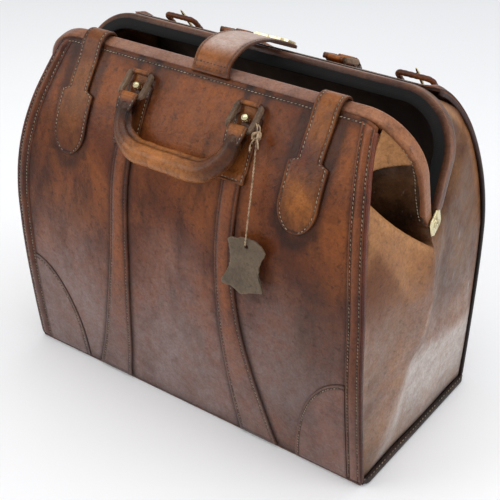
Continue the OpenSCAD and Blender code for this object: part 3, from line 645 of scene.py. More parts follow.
def sideW(z):
    # half width of the panels at a height
    return np.interp(z, sideZ, sideX) - np.where(np.asarray(z) > 358, (np.asarray(z) - 358) * 0.24, 0)


def ramp(v, a, b):
    # 0 at a, 1 at b, with a smooth step between: 3 t squared less 2 t cubed
    t = np.clip((np.asarray(v, float) - a) / (b - a), 0, 1)
    return t * t * (3 - 2 * t)


def near(v, at, width):
    # 1 at a line, 0 beyond width from it
    return 1 - ramp(np.abs(v - at), 0, width)


def hideWave(side, x, z):
    # slow swells of the soft wall, shared by all that is sewn to it: three sines that die out at its edges
    fade = ramp(z, 12, 60) * (1 - ramp(z, 262, 300)) * (1 - ramp(np.abs(x), 150, 205) * 0.6)
    k = 0.7 if side == front else 2.9
    wide = 1.25 * np.sin(0.0215 * x + k) * np.sin(0.0180 * z + 0.4 + k)
    slant = 0.75 * np.sin(0.041 * x - 0.013 * z + 2.1 * k)
    return fade * (wide + slant + 0.45 * np.sin(0.033 * z + 0.024 * x + 1.2 * k) - 0.1)


def wallPoint(side, x, z, off):
    # the wall's curve at a height, moved off along its normal
    w = walls[side]
    x, z, off = np.broadcast_arrays(np.asarray(x, float), np.asarray(z, float), np.asarray(off, float))
    d, nd, nz = (np.interp(z, w["z"], w[k]) for k in ("d", "nd", "nz"))
    o = off + hideWave(side, x, z)
    return np.stack([x, side * (d + o * nd), z + o * nz], -1)


def wallLean(side, z):
    # the wall's slope at a height, in radians, from how far it moves in over 8 mm of rise
    d = np.interp([z - 4, z + 4], walls[side]["z"], walls[side]["d"])
    return math.atan((d[0] - d[1]) / 8)


def underBand(x, z):
    # heights near the top are lowered where the band curves down to its legs
    over = np.clip(np.abs(x) - jaw["half"] + jaw["corner"], 0, jaw["corner"] - 1)
    return z - (jaw["corner"] - np.sqrt(jaw["corner"] ** 2 - over ** 2)) * ramp(z, 300, 357)


def wallNormal(side, x, z):
    # the way off the wall, from two points 1 mm apart
    return wallPoint(side, x, z, 1.0) - wallPoint(side, x, z, 0.0)


def wallRow(side, x, z, off):
    # a row of thread lying on the wall
    return wallPoint(side, x, z, off), wallNormal(side, x, z)


# names of the two sides, the jaws' bodies and the hands
sideName = {front: "front", rear: "rear"}
jawBody = {front: "front_jaw", rear: "rear_jaw"}
handName = {-1: "Left", 1: "Right"}


def stand(piece, replaced):
    # hides the CAD nodes that the piece stands for
    if replaced:
        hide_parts(*replaced)
    return piece


def bend(piece, side, slot=None, *replaced):
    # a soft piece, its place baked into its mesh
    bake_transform(piece)
    return stand(piece, replaced)


def carry(piece, body, slot=None, *replaced):
    # a stiff piece, carried by one body
    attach(piece, body)
    return stand(piece, replaced)


def repaint(material, *names):
    # CAD nodes shown as they are, in this scene's own material
    for name in names:
        nodes[name].data.materials.clear()
        nodes[name].data.materials.append(look[material])


# the tag and its string, in millimetres and degrees
string = {"points": [(82.5, -98, 328), (85, -103, 317), (88, -110, 302), (91, -118, 283), (92.5, -124.6, 262),
                     (92, -128.1, 238)],
          "strand": 0.46, "apart": 0.44, "turns": 15, "knot": (82.0, -96.2, 330.4)}
tag = {"hole": (92.0, 236.0), "holeR": 2.2, "y": -125.5, "thick": 2.0, "tilt": -6.0, "ragged": 0.22,
       "edge": [(-21, 2), (-17, 5), (-11, 4.5), (-5, 8), (1, 9), (11, 7.5), (20, 2.5), (21, -4), (15.5, -12),
                (15, -24), (17.5, -32), (22, -39), (19, -42), (11, -43.5), (-3, -50), (-9, -47), (-16, -44),
                (-25, -46), (-26, -41), (-20, -31), (-16.5, -19), (-18, -9)],
       "rings": [0, 0.08, 0.2, 0.35, 0.5, 0.65, 0.8, 0.92, 0.985, 1.0],
       "thin": [0.6, 1, 1, 1, 1, 1, 1, 1, 0.85, 0.45]}
# each loop of the bow: how much it stands up, its turn, its two radii and where it starts
bow = {"loops": [(1.0, 0.0, 3.2, 2.7, 0.3), (0.75, 1.1, 3.0, 2.8, 1.3), (0.85, 2.2, 2.9, 3.0, 2.2)],
       "ends": [[(82, -98, 330), (80, -101, 327), (79, -103, 323), (80, -104.5, 319)],
                [(83, -98, 331), (85.5, -101, 330), (88, -103, 327), (88.5, -104, 323)],
                [(81.5, -96, 331), (80.5, -93.5, 335), (78.5, -91, 338), (75.5, -89.5, 339)],
                [(83, -95.5, 331), (82.5, -92.5, 334), (80.5, -89.5, 336.5), (77, -88, 337.5)]]}


def join(parts, name):
    # several meshes into the first one
    first = parts[0]
    with bpy.context.temp_override(active_object=first, object=first, selected_objects=parts,
                                   selected_editable_objects=parts):
        bpy.ops.object.join()
    first.name = name
    first.data.name = name
    return first


def twistedString(name, line, material):
    # two strands wound round one line, as one mesh: each is line + apart * (cos, sin) of its own turn
    n, cols = len(line), 7
    t = along(line)
    a = unit(np.cross(t, [0.0, 1.0, 0.3]))
    b = np.cross(t, a)
    s = np.linspace(0, 2 * np.pi * string["turns"], n)[:, None]
    v = np.linspace(0, 2 * np.pi, cols, endpoint=False)[None, :, None]
    pts, quads, caps = [], [], []
    for k in range(2):
        c = (line + string["apart"] * (np.cos(s + k * np.pi) * a + np.sin(s + k * np.pi) * b))[:, None]
        ring = c + string["strand"] * (np.cos(v) * a[:, None] + np.sin(v) * b[:, None])
        q = quadGrid(n, cols, False, True)
        if not outwards(ring, q, ring - c):
            q = q[:, ::-1]
        first = k * n * cols
        quads.append(q + first)
        caps += [range(first + cols - 1, first - 1, -1), range(first + (n - 1) * cols, first + n * cols)]
        pts.append(ring.reshape(-1, 3))
    return build(name, np.concatenate(pts), np.concatenate(quads), material, caps=caps)


def makeTag():
    # rings of points from the hole to the ragged edge, curled across and tilted about the hole
    h, v = tag["hole"]
    edge = np.array(tag["edge"], float)
    edge = smoothLine(np.concatenate([edge, edge[:1]]), 97, 2)[:-1]
    edge = edge + np.random.default_rng(4).normal(0, tag["ragged"], edge.shape)
    turn = -1 if np.cross(edge[0], edge[5]) < 0 else 1
    ang = math.atan2(edge[0, 1], edge[0, 0]) + turn * np.linspace(0, 2 * np.pi, len(edge), endpoint=False)
    hole = tag["holeR"] * np.stack([np.cos(ang), np.sin(ang)], -1)
    k = np.array(tag["rings"])[:, None, None]
    flat = hole[None] * (1 - k) + edge[None] * k
    curl = 0.0011 * flat[..., 0] ** 2 + 0.5 * np.sin(flat[..., 1] * 0.09)
    tilt = math.radians(tag["tilt"])
    half = tag["thick"] * np.array(tag["thin"])[:, None] / 2
    x = h + flat[..., 0]
    y = tag["y"] - flat[..., 1] * math.sin(tilt) - curl * 0.35
    z = v + flat[..., 1] * math.cos(tilt)
    outer, inner = np.stack([x, y - half, z], -1), np.stack([x, y + half, z], -1)
    rows, cols = outer.shape[:2]
    n = rows * cols
    q = quadGrid(rows, cols, False, True)
    rims = []
    for r in (0, rows - 1):
        a = r * cols + np.arange(cols)
        b = np.roll(a, -1)
        first, last = (a, b) if r else (b, a)
        rims.append(np.stack([first + n, last + n, last, first], -1))
    faces = np.concatenate([q, q[:, ::-1] + n] + rims)
    if not outwards(outer, q, outer - inner):
        faces = faces[:, ::-1]
    worn = np.clip((k[..., 0] - 0.9) * 9, 0, 1)
    points = np.concatenate([outer.reshape(-1, 3), inner.reshape(-1, 3)])
    piece = build("swingTag", points, faces, "tag", onGrid({"wearAndPaintedLight": worn, "dustAndSheen": 0.25}, rows, cols, 2))
    return carry(piece, "swing_tag", "tag_hide", "tag")


def makeKnot():
    # raffia bow on the ring: loops whose three sides are sines of one turn, and four loose ends
    a = np.linspace(0, 2 * np.pi, 90)
    parts = []
    for j, (up, turn, r1, r2, start) in enumerate(bow["loops"]):
        w = np.stack([r1 * np.cos(a + start), r2 * np.sin(2 * a + turn), up * 3.4 * np.sin(a + turn)], -1)
        section = roundSection(1.25, 7, 0.75)
        parts.append(sweep("knotLoop" + str(j), string["knot"] + w, (0.2, 0.5, 0.8), section, "raffia"))
    for j, end in enumerate(bow["ends"]):
        section = roundSection(0.85, 7, 0.6)
        parts.append(sweep("knotEnd" + str(j), smoothLine(end, 24), (0.3, 0.3, 0.9), section, "raffia"))
    return carry(join(parts, "tagKnot"), "swing_tag", "rope", "tag_knot")


def makeString(tagPiece, knot):
    line = smoothLine(string["points"], 120)
    piece = carry(twistedString("tagString", line, "raffia"), "swing_tag", "rope", "tag_string")


makeString(makeTag(), makeKnot())


# walls: each piece is a grid laid on the wall's curve, with its own thickness over it
panel = {"rows": 150, "cols": 170, "under": 1.6}
# the front straps' paddles, with the wall darkened round them: dirt, and painted shade beside their raised
# edges
paddle = {"x": 137, "half": 21, "round": 14, "z": 262, "from": 256, "dirt": {front: 0.75, rear: 0.3}}


def bottomRound(z):
    # the lower corners of a panel are rounded by 5 mm
    d = np.clip(8 - np.asarray(z, float), 0, 5)
    return 5 - np.sqrt(25 - d ** 2)


def panelMasks(side, x, z, edge, top):
    # the middle is worn; the foot is pale with dust and a painted reflection of the floor; dark by the seams
    # and round the straps, from dirt and from painted shade beside the raised pieces
    by = np.abs(np.abs(x - bag["shift"]) - stripX(z)) - stripW(z) / 2
    # dark beside the strips and the edge beads, under the jaw's band, at the top and along the base: dirt in
    # the seams, with painted shade beside the raised pieces, under the band and along the base
    seam = 0.8 * near(by, 0, 7) + 0.75 * near(edge, 14.5, 6) + 0.8 * near(z, underBand(x, 355.6), 2.6)
    seam = seam + 0.5 * near(z, top, 12) + 0.35 * near(z, 3, 14)
    px = np.abs(x - bag["shift"]) - paddle["x"]
    tip = near(np.hypot(px, z - paddle["z"]), paddle["round"], 12)
    sides = near(np.maximum(np.abs(px) - paddle["half"], 0), 0, 8)
    # darkened round the paddles: dirt, with painted shade beside their raised edges
    dirt = np.where(z > paddle["from"], sides, tip) * paddle["dirt"][side]
    seam = np.clip(np.maximum(seam, dirt), 0, 1)
    grime = 0.35 * near(x, 165, 40) * ramp(z, 80, 190) + 0.26 * near(x, 140, 85) + 0.09
    wearAndPaintedLight = 0.75 * near(x, 20, 90) * ramp(z, 215, 300) + 0.5 * near(x, 172, 40) * ramp(z, 235, 290)
    wearAndPaintedLight = wearAndPaintedLight + 0.35 * near(x, -150, 40) * ramp(z, 150, 240) * (1 - ramp(z, 260, 300))
    # pale towards the foot and in patches low down: dust, with a painted reflection of the floor on the lower
    # wall
    dustAndSheen = 0.85 * (1 - ramp(z, 40, 215)) + 0.35 * near(x, 0, 60) * (1 - ramp(z, 190, 240))
    dustAndSheen = dustAndSheen * (1 - 0.45 * near(x, 178, 45) * ramp(z, 60, 150)) * (1 - 0.25 * near(x, 125, 60))
    dustAndSheen = dustAndSheen + 0.34 * near(x, -150, 90) * (1 - ramp(z, 140, 235))
    dustAndSheen = dustAndSheen + 0.50 * near(x, 138, 90) * ramp(z, 20, 90) * (1 - ramp(z, 165, 230))
    masks = {"seam": seam + grime * (1 - ramp(z, 205, 265)), "wearAndPaintedLight": wearAndPaintedLight, "dustAndSheen": dustAndSheen}
    return {key: np.clip(v, 0, 1) for key, v in masks.items()}


def makePanel(side):
    # rows at even lengths up the wall, columns closer together at both edges
    w = walls[side]
    top = np.interp(w["s"][-1] - panel["under"], w["s"], w["z"])
    s = np.linspace(0, np.interp(top, w["z"], w["s"]), panel["rows"])
    z = np.interp(s, w["s"], w["z"])[:, None]
    k = 0.35 * spread(panel["cols"])[None] + 0.65 * np.linspace(-1, 1, panel["cols"])[None]
    half = sideW(z) - bottomRound(z)
    x = k * half
    edge = half - np.abs(x)
    z = underBand(x, z)
    off = rolledEdge(np.minimum(edge, z - 2.6), 0.0, 1.2)
    outer, inner = wallPoint(side, x, z, off), wallPoint(side, x, z, -bag["hide"])
    piece = slab(sideName[side] + "Panel", outer, inner, "panel", panelMasks(side, x, z, edge, top))
    bend(piece, side, "panel_hide", sideName[side] + "_panel")


def onWall(name, side, x, z, h, sunk, masks, slot, node):
    # a piece of trim lying on the wall, its height over it in h and its underside sunk into it
    piece = slab(name, wallPoint(side, x, z, h), wallPoint(side, x, z, -sunk), "trim", masks)
    bend(piece, side, slot, node)


strips = {"top": 290.0, "waist": 225.0, "foot": 3.8, "waistW": 21.0, "footW": 46.0, "out": 34.0, "waistX": 64,
          "flare": 1.7, "seam": 3.2}


def stripBend(z):
    # 0 at the waist and above, 1 at the base
    return np.maximum(0, (strips["waist"] - np.asarray(z, float)) / strips["waist"]) ** strips["flare"]


def stripX(z):
    return strips["waistX"] + strips["out"] * stripBend(z)


def stripW(z):
    return strips["waistW"] + (strips["footW"] - strips["waistW"]) * stripBend(z)


def makeStrip(side, hand):
    # a flared strip with a groove under each row of thread and a low crown between them
    z = np.linspace(strips["foot"], strips["top"], 150)[:, None]
    k = spread(22)[None]
    w = stripW(z)
    x = bag["shift"] + hand * stripX(z) + k * w / 2
    edge = np.minimum((1 - np.abs(k)) * w / 2, z - strips["foot"] + 0.3)
    h = rolledEdge(edge, bag["trim"], 1.3)
    h = h - 0.7 * near(edge, strips["seam"], 1.5) + 1.5 * (1 - np.abs(k) ** 2) * near(w, 21, 22)
    masks = {"seam": np.clip(0.9 * near(edge, strips["seam"], 2.0) + 0.6 * near(edge, 0, 1.6), 0, 1),
             "wearAndPaintedLight": np.clip(0.85 * (1 - np.abs(k)) * (1 - ramp(stripBend(z), 0.2, 0.7)), 0, 1),
             "dustAndSheen": 0.75 * (1 - ramp(z, 30, 190))}
    onWall(sideName[side] + "Strip" + handName[hand], side, x, z, h, 0.4, masks, "trim_hide",
           sideName[side] + "_strip_" + handName[hand].lower())
    zz = np.linspace(strips["foot"] + 3, strips["top"] - 3, 200)
    lift = bag["trim"] - 0.75 + 0.5 * near(stripW(zz), 21, 22)
    return [wallRow(side, bag["shift"] + hand * stripX(zz) + e * (stripW(zz) / 2 - strips["seam"]), zz, lift)
            for e in (-1, 1)]


# distance from the panel's edge and height over it: thin edge, thread, a rolled ridge, thread
bead = {"low": 5.0, "high": 357.0, "threads": (3.1, 13.0),
        "profile": [(0.4, 0.1), (0.9, 0.9), (1.5, 1.2), (2.1, 1.15), (2.7, 0.75), (3.3, 0.55), (3.9, 0.8),
                    (4.4, 1.3), (5.0, 2.0), (5.8, 2.6), (6.8, 3.0), (8.0, 3.15), (9.2, 3.0), (10.2, 2.6),
                    (11.0, 2.0), (11.6, 1.3), (12.1, 0.8), (12.7, 0.5), (13.3, 0.55), (13.9, 0.85),
                    (14.6, 1.0), (15.3, 0.8), (15.9, 0.05)]}
# the bound edge where panel and gusset meet: its section, and how far past the edge and how deep it lies
binding = {front: {"size": (2.6, 4.6, 1.1, 3), "past": 0.1, "deep": 1.8, "look": "rim"},
           rear: {"size": (4.0, 4.6, 1.4, 3), "past": -0.5, "deep": 4.3, "look": "edge"}}


def makeEdgeBand(side, hand):
    # the bead's profile carried up the panel's side
    z = np.linspace(bead["low"], bead["high"], 190)[:, None]
    e, h = np.array(bead["profile"]).T[:, None]
    x = hand * (sideW(z) - bottomRound(z) - e)
    h = h * ramp(z, bead["low"] - 1, bead["low"] + 5) * (1 - 0.8 * ramp(z, bead["high"] - 6, bead["high"]))
    z = underBand(x, z)
    masks = {"seam": np.clip(near(e, 3.1, 1.5) + near(e, 13.0, 1.7) + 0.8 * near(e, 0.4, 1.2), 0, 1),
             "wearAndPaintedLight": 0.5 * near(e, 8.0, 3.0) * ramp(z, 60, 250),
             "dustAndSheen": 0.55 * (1 - ramp(z, 20, 170))}
    name = sideName[side] + "EdgeBand" + handName[hand]
    onWall(name, side, x, z, h, 0.5, masks, "trim_hide", sideName[side] + "_edge_beads")
    edge = binding[side]
    zz = np.linspace(4, 356, 150)
    xx = sideW(zz) - bottomRound(zz) + edge["past"]
    line = wallPoint(side, hand * xx, underBand(xx, zz), -edge["deep"])
    # the binding lighter towards the top and darker towards the foot: a painted highlight above and painted
    # shade below
    masks = {"wearAndPaintedLight": 0.5 * ramp(zz, 200, 320)[:, None], "seam": 0.5 * (1 - ramp(zz, 120, 260))[:, None]}
    cover = sweep(sideName[side] + "Binding" + handName[hand], line, (hand, 0, 0), boxSection(*edge["size"]),
                  edge["look"], masks)
    bend(cover, side, "edge_black")
    zr = np.linspace(bead["low"] + 4, bead["high"] - 5, 260)
    xr = [sideW(zr) - d for d in bead["threads"]]
    return [wallRow(side, hand * x, underBand(x, zr), 0.72) for x in xr]


patch = {"w": 64.0, "h": 121.0, "thick": 1.55, "edgeX": 203, "foot": 3, "dustAndSheen": {-1: 0.75, 1: 0.5}}


def makePatch(side, hand):
    # a quarter ellipse over a lower corner, row by row
    w, high, foot = patch["w"], patch["h"], patch["foot"]
    z = 5 + np.sin(np.linspace(0, np.pi / 2, 70))[:, None] * (high - 2.6)
    xOut = sideW(z) - 15.6
    xIn = patch["edgeX"] - w * np.sqrt(np.maximum(1 - ((z - foot) / high) ** 2, 0))
    xIn = np.minimum(xIn, xOut - 0.3)
    x = xIn + (xOut - xIn) * (spread(36)[None] + 1) / 2
    # distance to the curved edge, near enough for the rounding
    r = np.hypot((patch["edgeX"] - x) / w, (z - foot) / high)
    edge = np.clip((1 - r) * 0.8 * (w + (high - w) * ramp(z, 20, 121)), 0, None)
    h = rolledEdge(np.minimum(edge, z - 4.4), patch["thick"], 1.1) - 0.5 * near(edge, 3.2, 1.5)
    seam = 0.9 * near(edge, 3.2, 2.0) + 0.8 * near(edge, 0, 1.5) + 0.6 * near(x, xOut, 3)
    masks = {"seam": np.clip(seam, 0, 1),
             "dustAndSheen": np.clip(patch["dustAndSheen"][hand] + 0.2 * (1 - ramp(z, 10, 90)), 0, 1)}
    name = sideName[side] + "Patch" + handName[hand]
    onWall(name, side, hand * x, z, h, 0.4, masks, "trim_hide", sideName[side] + "_corner_patches")
    a = np.linspace(0.04, np.pi / 2 - 0.16, 120)
    x = hand * (patch["edgeX"] - (w - 3.4) * np.cos(a))
    return [wallRow(side, x, foot + (high - 4.2) * np.sin(a), patch["thick"] - 0.35)]


for side in (front, rear):
    makePanel(side)
    rows = []
    for hand in (-1, 1):
        rows += makeStrip(side, hand) + makeEdgeBand(side, hand) + makePatch(side, hand)
    xs = np.linspace(-181, 181, 260)
    rows.append(wallRow(side, xs, underBand(xs, 355.6), 0.25 if side == front else -0.1))
    bend(stitchRows(sideName[side] + "WallStitches", rows), side, "rope")
print("walls made")


# base, in millimetres
base = {"half": 214.0, "depth": 107.0, "thick": 3.0, "over": 2.8, "rim": 2.2, "weltX": 216.0, "weltZ": 3.6,
        "welt": (6.0, 6.6, 2.2, 4), "weltEnds": (-105.5, 104.5), "pitch": 5.2}


def makeBase():
    # a flat sheet with its lower rim rounded, and a welt along each end that thins and lifts at its own ends
    kx, ky = spread(60)[None], spread(40)[:, None]
    x = kx * base["half"] + 0 * ky
    y = ky * base["depth"] + 0 * kx
    edge = np.minimum(base["half"] - np.abs(x), base["depth"] - np.abs(y))
    under = base["over"] - rolledEdge(edge, base["over"], base["rim"])
    outer, inner = np.stack([x, y, under], -1), np.stack([x, y, 0 * x + base["thick"]], -1)
    sheet = slab("baseLeather", outer, inner, "panel", {"seam": 0.45 * near(edge, 0, 9), "dustAndSheen": 0.6})
    carry(sheet, "bag_body", "panel_hide", "bottom_leather")
    y = np.linspace(*base["weltEnds"], 120)
    thin = 1 - 0.35 * ramp(np.abs(y), 97, 105)
    parts, rows = [], []
    for hand in (-1, 1):
        x = hand * (base["weltX"] - 1.6 * ramp(np.abs(y), 96, 105))
        p = np.stack([x, y, base["weltZ"] + 0.9 * ramp(np.abs(y), 98, 105)], -1)
        section = boxSection(*base["welt"])[None] * thin[:, None, None]
        parts.append(sweep("baseWelt" + str(hand), p, (1, 0, 0), section, "edge", {"dustAndSheen": 0.45}))
        line = p + [hand * 1.6, 0, 3.45]
        rows.append((line, np.broadcast_to([hand * 0.5, 0, 1.0], line.shape)))
    carry(join(parts, "baseWelt"), "bag_body", "edge_black", "base_welt")
    carry(stitchRows("weltStitches", rows, pitch=base["pitch"]), "bag_body", "rope")


makeBase()


# gussets, in millimetres: the middle line's x at heights, folds and flaps as parts of their own length
gusset = {"ridgeEdge": 301.0, "ridgeMid": 229.0, "pocketIn": {front: 52.0, rear: 12.0},
          "pocketDrop": {front: 34.0, rear: 6.0}, "inset": 2.0, "under": 3.6, "thick": 1.8,
          "attachStart": 66.0, "attachIn": 2.0, "foot": 14.0, "step": 7.0, "flapLow": 0.22, "flapWide": 0.36,
          "midX": ([0, 120, 229, 255], [212, 211, 222, 219.6]), "scars": [(50, 163), (92, 130), (58, 203)],
          "cols": 46, "lowRows": 62, "foldRows": 14, "upRows": 51, "sewnBelowTop": {front: 3, rear: 4}}


def gussetEdge(side, z):
    w = walls[side]
    y = side * (np.interp(z, w["z"], w["d"]) - gusset["under"])
    return np.stack([sideW(z) - gusset["inset"], y, z], -1)


def gussetMid(z):
    return np.stack([np.interp(z, *gusset["midX"]), np.full_like(z, jaw["y"]), z], -1)


def between(a, b, k):
    return a * (1 - k[..., None]) + b * k[..., None]


def attachLine(side, u):
    # the seam on the jaw, from its top corner round to the leg and the hinge
    r = jaw["corner"] - gusset["attachIn"]
    arc = r * math.radians(gusset["attachStart"])
    leg = jaw["reach"] - jaw["corner"] - jaw["foot"]
    s = u * (arc + leg + gusset["foot"])
    a = np.radians(gusset["attachStart"]) * (1 - np.clip(s / arc, 0, 1))
    out = jaw["thick"] + 0.4
    x = jaw["half"] - jaw["corner"] + r * np.cos(a)
    onArc = jawPoint(side, x, out, jaw["reach"] - jaw["corner"] + r * np.sin(a))
    up = jaw["foot"] + leg - np.clip(s - arc, 0, leg)
    onLeg = jawPoint(side, jaw["half"] - gusset["attachIn"], out, up)
    p = np.where((s < arc)[..., None], onArc, onLeg)
    k = np.clip((s - arc - leg) / gusset["foot"], 0, 1)
    return between(p, gussetMid(np.full_like(u, jaw["z"] - 8)), k)


def tent(d, width, soft=4.0):
    # a ridge across d, rounded at its top
    return np.maximum(0, 1 - (np.sqrt(d * d + soft * soft) - soft) / width)


def creaseAt(y):
    # a level crease behind that turns down to the front corner
    return np.where(y > -33, 117 - (y + 33) * 0.17, 117 + (y + 33) * 1.79)


def slantAt(y, z):
    # distance from the slanting fold's line through (-120, 291), positive towards the hinge
    return ((y + 120) * 115 + (z - 291) * 74) / 136.8


def gussetFolds(y, z, u):
    # the lower part's folds: the crease, an upright one under the hinge, a slanting one from the front edge
    edge = np.sin(np.pi * np.clip(u, 0, 1) / 2) ** 0.7
    keep = ramp(np.abs(y), 118, 84)
    level = 9.0 * tent(z - creaseAt(y), 95, 3) * ramp(z, 0, 40) * keep
    uprightY = np.interp(z, [100, 118, 157, 173, 210, 235], [-34, -32, -25, -19, -22, -17])
    upright = 8.0 * tent(y - uprightY, 34, 3) * ramp(z, 100, 150) * (1 - 0.5 * ramp(z, 220, 235))
    slant = 6.0 * tent(slantAt(y, z), 30, 2) * ramp(z, 165, 190) * (1 - ramp(z, 285, 300))
    slant = slant * ramp(y, -119, -108)
    soft = 1.3 * np.sin(0.043 * y + 0.9) * np.sin(0.031 * z + 0.5) * keep
    return (level + upright + slant + soft) * (0.35 + 0.65 * edge)


def lowerGusset(side, u, lowQ, ridge):
    # from the base up to the ridge: between the panel's edge and the middle line, pushed out by the folds
    z = 4 + (ridge - 4) * lowQ
    low = between(gussetEdge(side, z), gussetMid(z), u + 0 * lowQ)
    low[..., 0] += gussetFolds(low[..., 1], z, u + 0 * lowQ) * (1 - 0.55 * ramp(lowQ, 0.9, 1.0))
    return low


def upperGusset(side, u, upQ, pocket, dip, below):
    # from the pocket up to the seam on the jaw: straight lines, pulled to the panel's edge at the outside
    k = upQ[..., None]
    sewn = attachLine(side, u + 0 * u)
    a0, b0 = pocket[:, :1], sewn[:, :1]
    zz = a0[..., 2] * (1 - upQ) + b0[..., 2] * upQ
    pull = gussetEdge(side, zz) - (a0 * (1 - k) + b0 * k)
    upper = pocket * (1 - k) + sewn * k + ((1 - u) ** 3)[..., None] * (1 - k) * pull
    if side == front:
        # the flat corner under the band ends in a fold, and the hide drops back below it
        upper[..., 0] -= 3.5 * np.sin(np.pi * upQ) * dip * (1 + 0.3 * np.sin(9 * u + 2))
        back = ramp(below, 0.0, 0.05) * gusset["step"] + ramp(below, 0.03, 0.5) * 9.0
        upper[..., 0] -= back * ramp(u, 0.01, 0.10) * (1 - ramp(upQ, 0.86, 1.0)) * (1 - ramp(u, 0.8, 1.0))
        upper[..., 0] += 1.6 * near(below, -0.02, 0.10) * ramp(u, 0.02, 0.1) * (1 - ramp(upQ, 0.9, 1.0))
    else:
        upper[..., 0] -= 4.5 * near(u, 0.30, 0.22) * near(upQ, 0.62, 0.34)
    return upper


def gussetSheet(side, u, lowQ, foldQ, upQ, below):
    # the lower part, the rounded turn over its ridge and down into the pocket, and the part up to the jaw
    ridge = gusset["ridgeEdge"] + (gusset["ridgeMid"] - gusset["ridgeEdge"]) * u
    low = lowerGusset(side, u, lowQ, ridge)
    dip = np.sin(np.pi * np.clip(u, 0, 1)) ** 0.8
    zp = ridge + 8 - u
    pocket = between(gussetEdge(side, zp), gussetMid(zp), u + 0 * zp)
    pocket[..., 0] -= dip * gusset["pocketIn"][side]
    pocket[..., 2] -= dip * gusset["pocketDrop"][side]
    top = low[-1:]
    over = top.copy()
    over[..., 2] += (5.0 if side == front else 1.0) * dip
    over[..., 0] -= 1.5 * dip
    k = foldQ[..., None]
    fold = (1 - k) ** 2 * top + 2 * k * (1 - k) * (over * 0.75 + pocket * 0.25) + k * k * pocket
    sheet = np.concatenate([low, fold, upperGusset(side, u, upQ, pocket, dip, below)])
    # nothing comes nearer to the bag's middle than 160 mm
    x = sheet[..., 0]
    sheet[..., 0] = np.where(x < 170, 160 + 10 * np.exp(np.minimum(x - 170, 0) / 10), x)
    if side == rear:
        # behind the hinge the hide runs on smoothly over the ridge
        for _ in range(70):
            sheet[40:-12] = 0.5 * sheet[40:-12] + 0.25 * (sheet[39:-13] + sheet[41:-11])
    sheet[:, -1, 1] -= side * 0.3
    return sheet


def gussetMasks(side, hand, y, z, u, q, deep):
    # q runs up the rows: to 1 in the lower part, to 1.2 over the fold, to 2.2 at the jaw
    low = q <= 1
    crease = creaseAt(y)
    # the facet between the slanting fold and the upright fold is painted lighter, as if lit, through the wear
    # mask below
    litFacet = ramp(slantAt(y, z), -5, 7) * (1 - ramp(y, -32, -10))
    # pale below the crease and low down: a painted reflection of the floor and sky, with some dust
    dustAndSheen = 0.92 * ramp((crease - z) / (1 + 3.0 * ramp(-y, 26, 56)), -6, 20)
    dustAndSheen = dustAndSheen * (1 - 0.6 * ramp(crease - z, 24, 104)) + 0.30 * ramp(220 - z, 0, 70)
    # a painted highlight along the crease
    dustAndSheen = dustAndSheen + 0.4 * near(z, crease, 4.5) * ramp(-y, -20, 30) * (1 - ramp(-y, 34, 60))
    wearAndPaintedLight = 0.40 * ramp(z, 160, 215) * litFacet + 0.25 * near(y, -60, 40) * ramp(z, 60, 120)
    seam = 0.8 * near(u, 0.0, 0.03) + 0.24 * (1 - ramp(z, 4, 75))
    if side == front:
        # painted shade outside the lit facet, darker low by the front edge, painted shade beside the upright
        # fold under the hinge, and deep painted shade in the pocket where the hide drops back under the band
        seam = seam + 0.10 * (1 - litFacet) * ramp(crease - z, 6, -6) * (1 - 0.6 * ramp(y, -32, -10))
        seam = seam + 0.22 * near(u, 0, 0.6) * (1 - ramp(z, 30, 210))
        seam = seam + 0.35 * ramp(y, -34, 4) * ramp(z, 120, 200)
        brown = 0.22 * near(u, 0.55, 0.32) * ramp(q, 1.45, 1.9)
        seam = low * seam + deep * (0.98 - brown) * (1 - 0.5 * ramp(u, 0.85, 1.0) * (q > 1.05))
        # the flat corner above the pocket is painted light through the wear mask, and the ridge's top edge
        # gets a painted highlight
        wearAndPaintedLight = low * wearAndPaintedLight + (q > 1.2) * (1.0 - deep) + 0.6 * near(q, 0.985, 0.03)
    else:
        # painted shade in the dent of the rear upper part, and beside the upright fold under the hinge
        seam = low * seam + 0.62 * near(u, 0.33, 0.26) * near(q, 1.82, 0.5)
        seam = seam + 0.55 * ramp(y, -34, 4) * ramp(z, 105, 170) * (1 - 0.8 * near(u, 0.06, 0.09))
        wearAndPaintedLight = low * wearAndPaintedLight + 0.9 * near(u, 0.08, 0.07) * ramp(z, 290, 320)
    seam = seam + 0.75 * near(q, 2.2, 0.05) + 0.5 * near(q, 0.0, 0.035)
    dustAndSheen = low * dustAndSheen
    if hand > 0:
        for at in gusset["scars"]:
            dustAndSheen = np.maximum(dustAndSheen, near(np.hypot(y - at[0], (z - at[1]) * 0.7), 0, 5.5))
    return {"dustAndSheen": np.clip(dustAndSheen, 0, 1), "wearAndPaintedLight": np.clip(wearAndPaintedLight, 0, 1), "seam": np.clip(seam, 0, 1)}


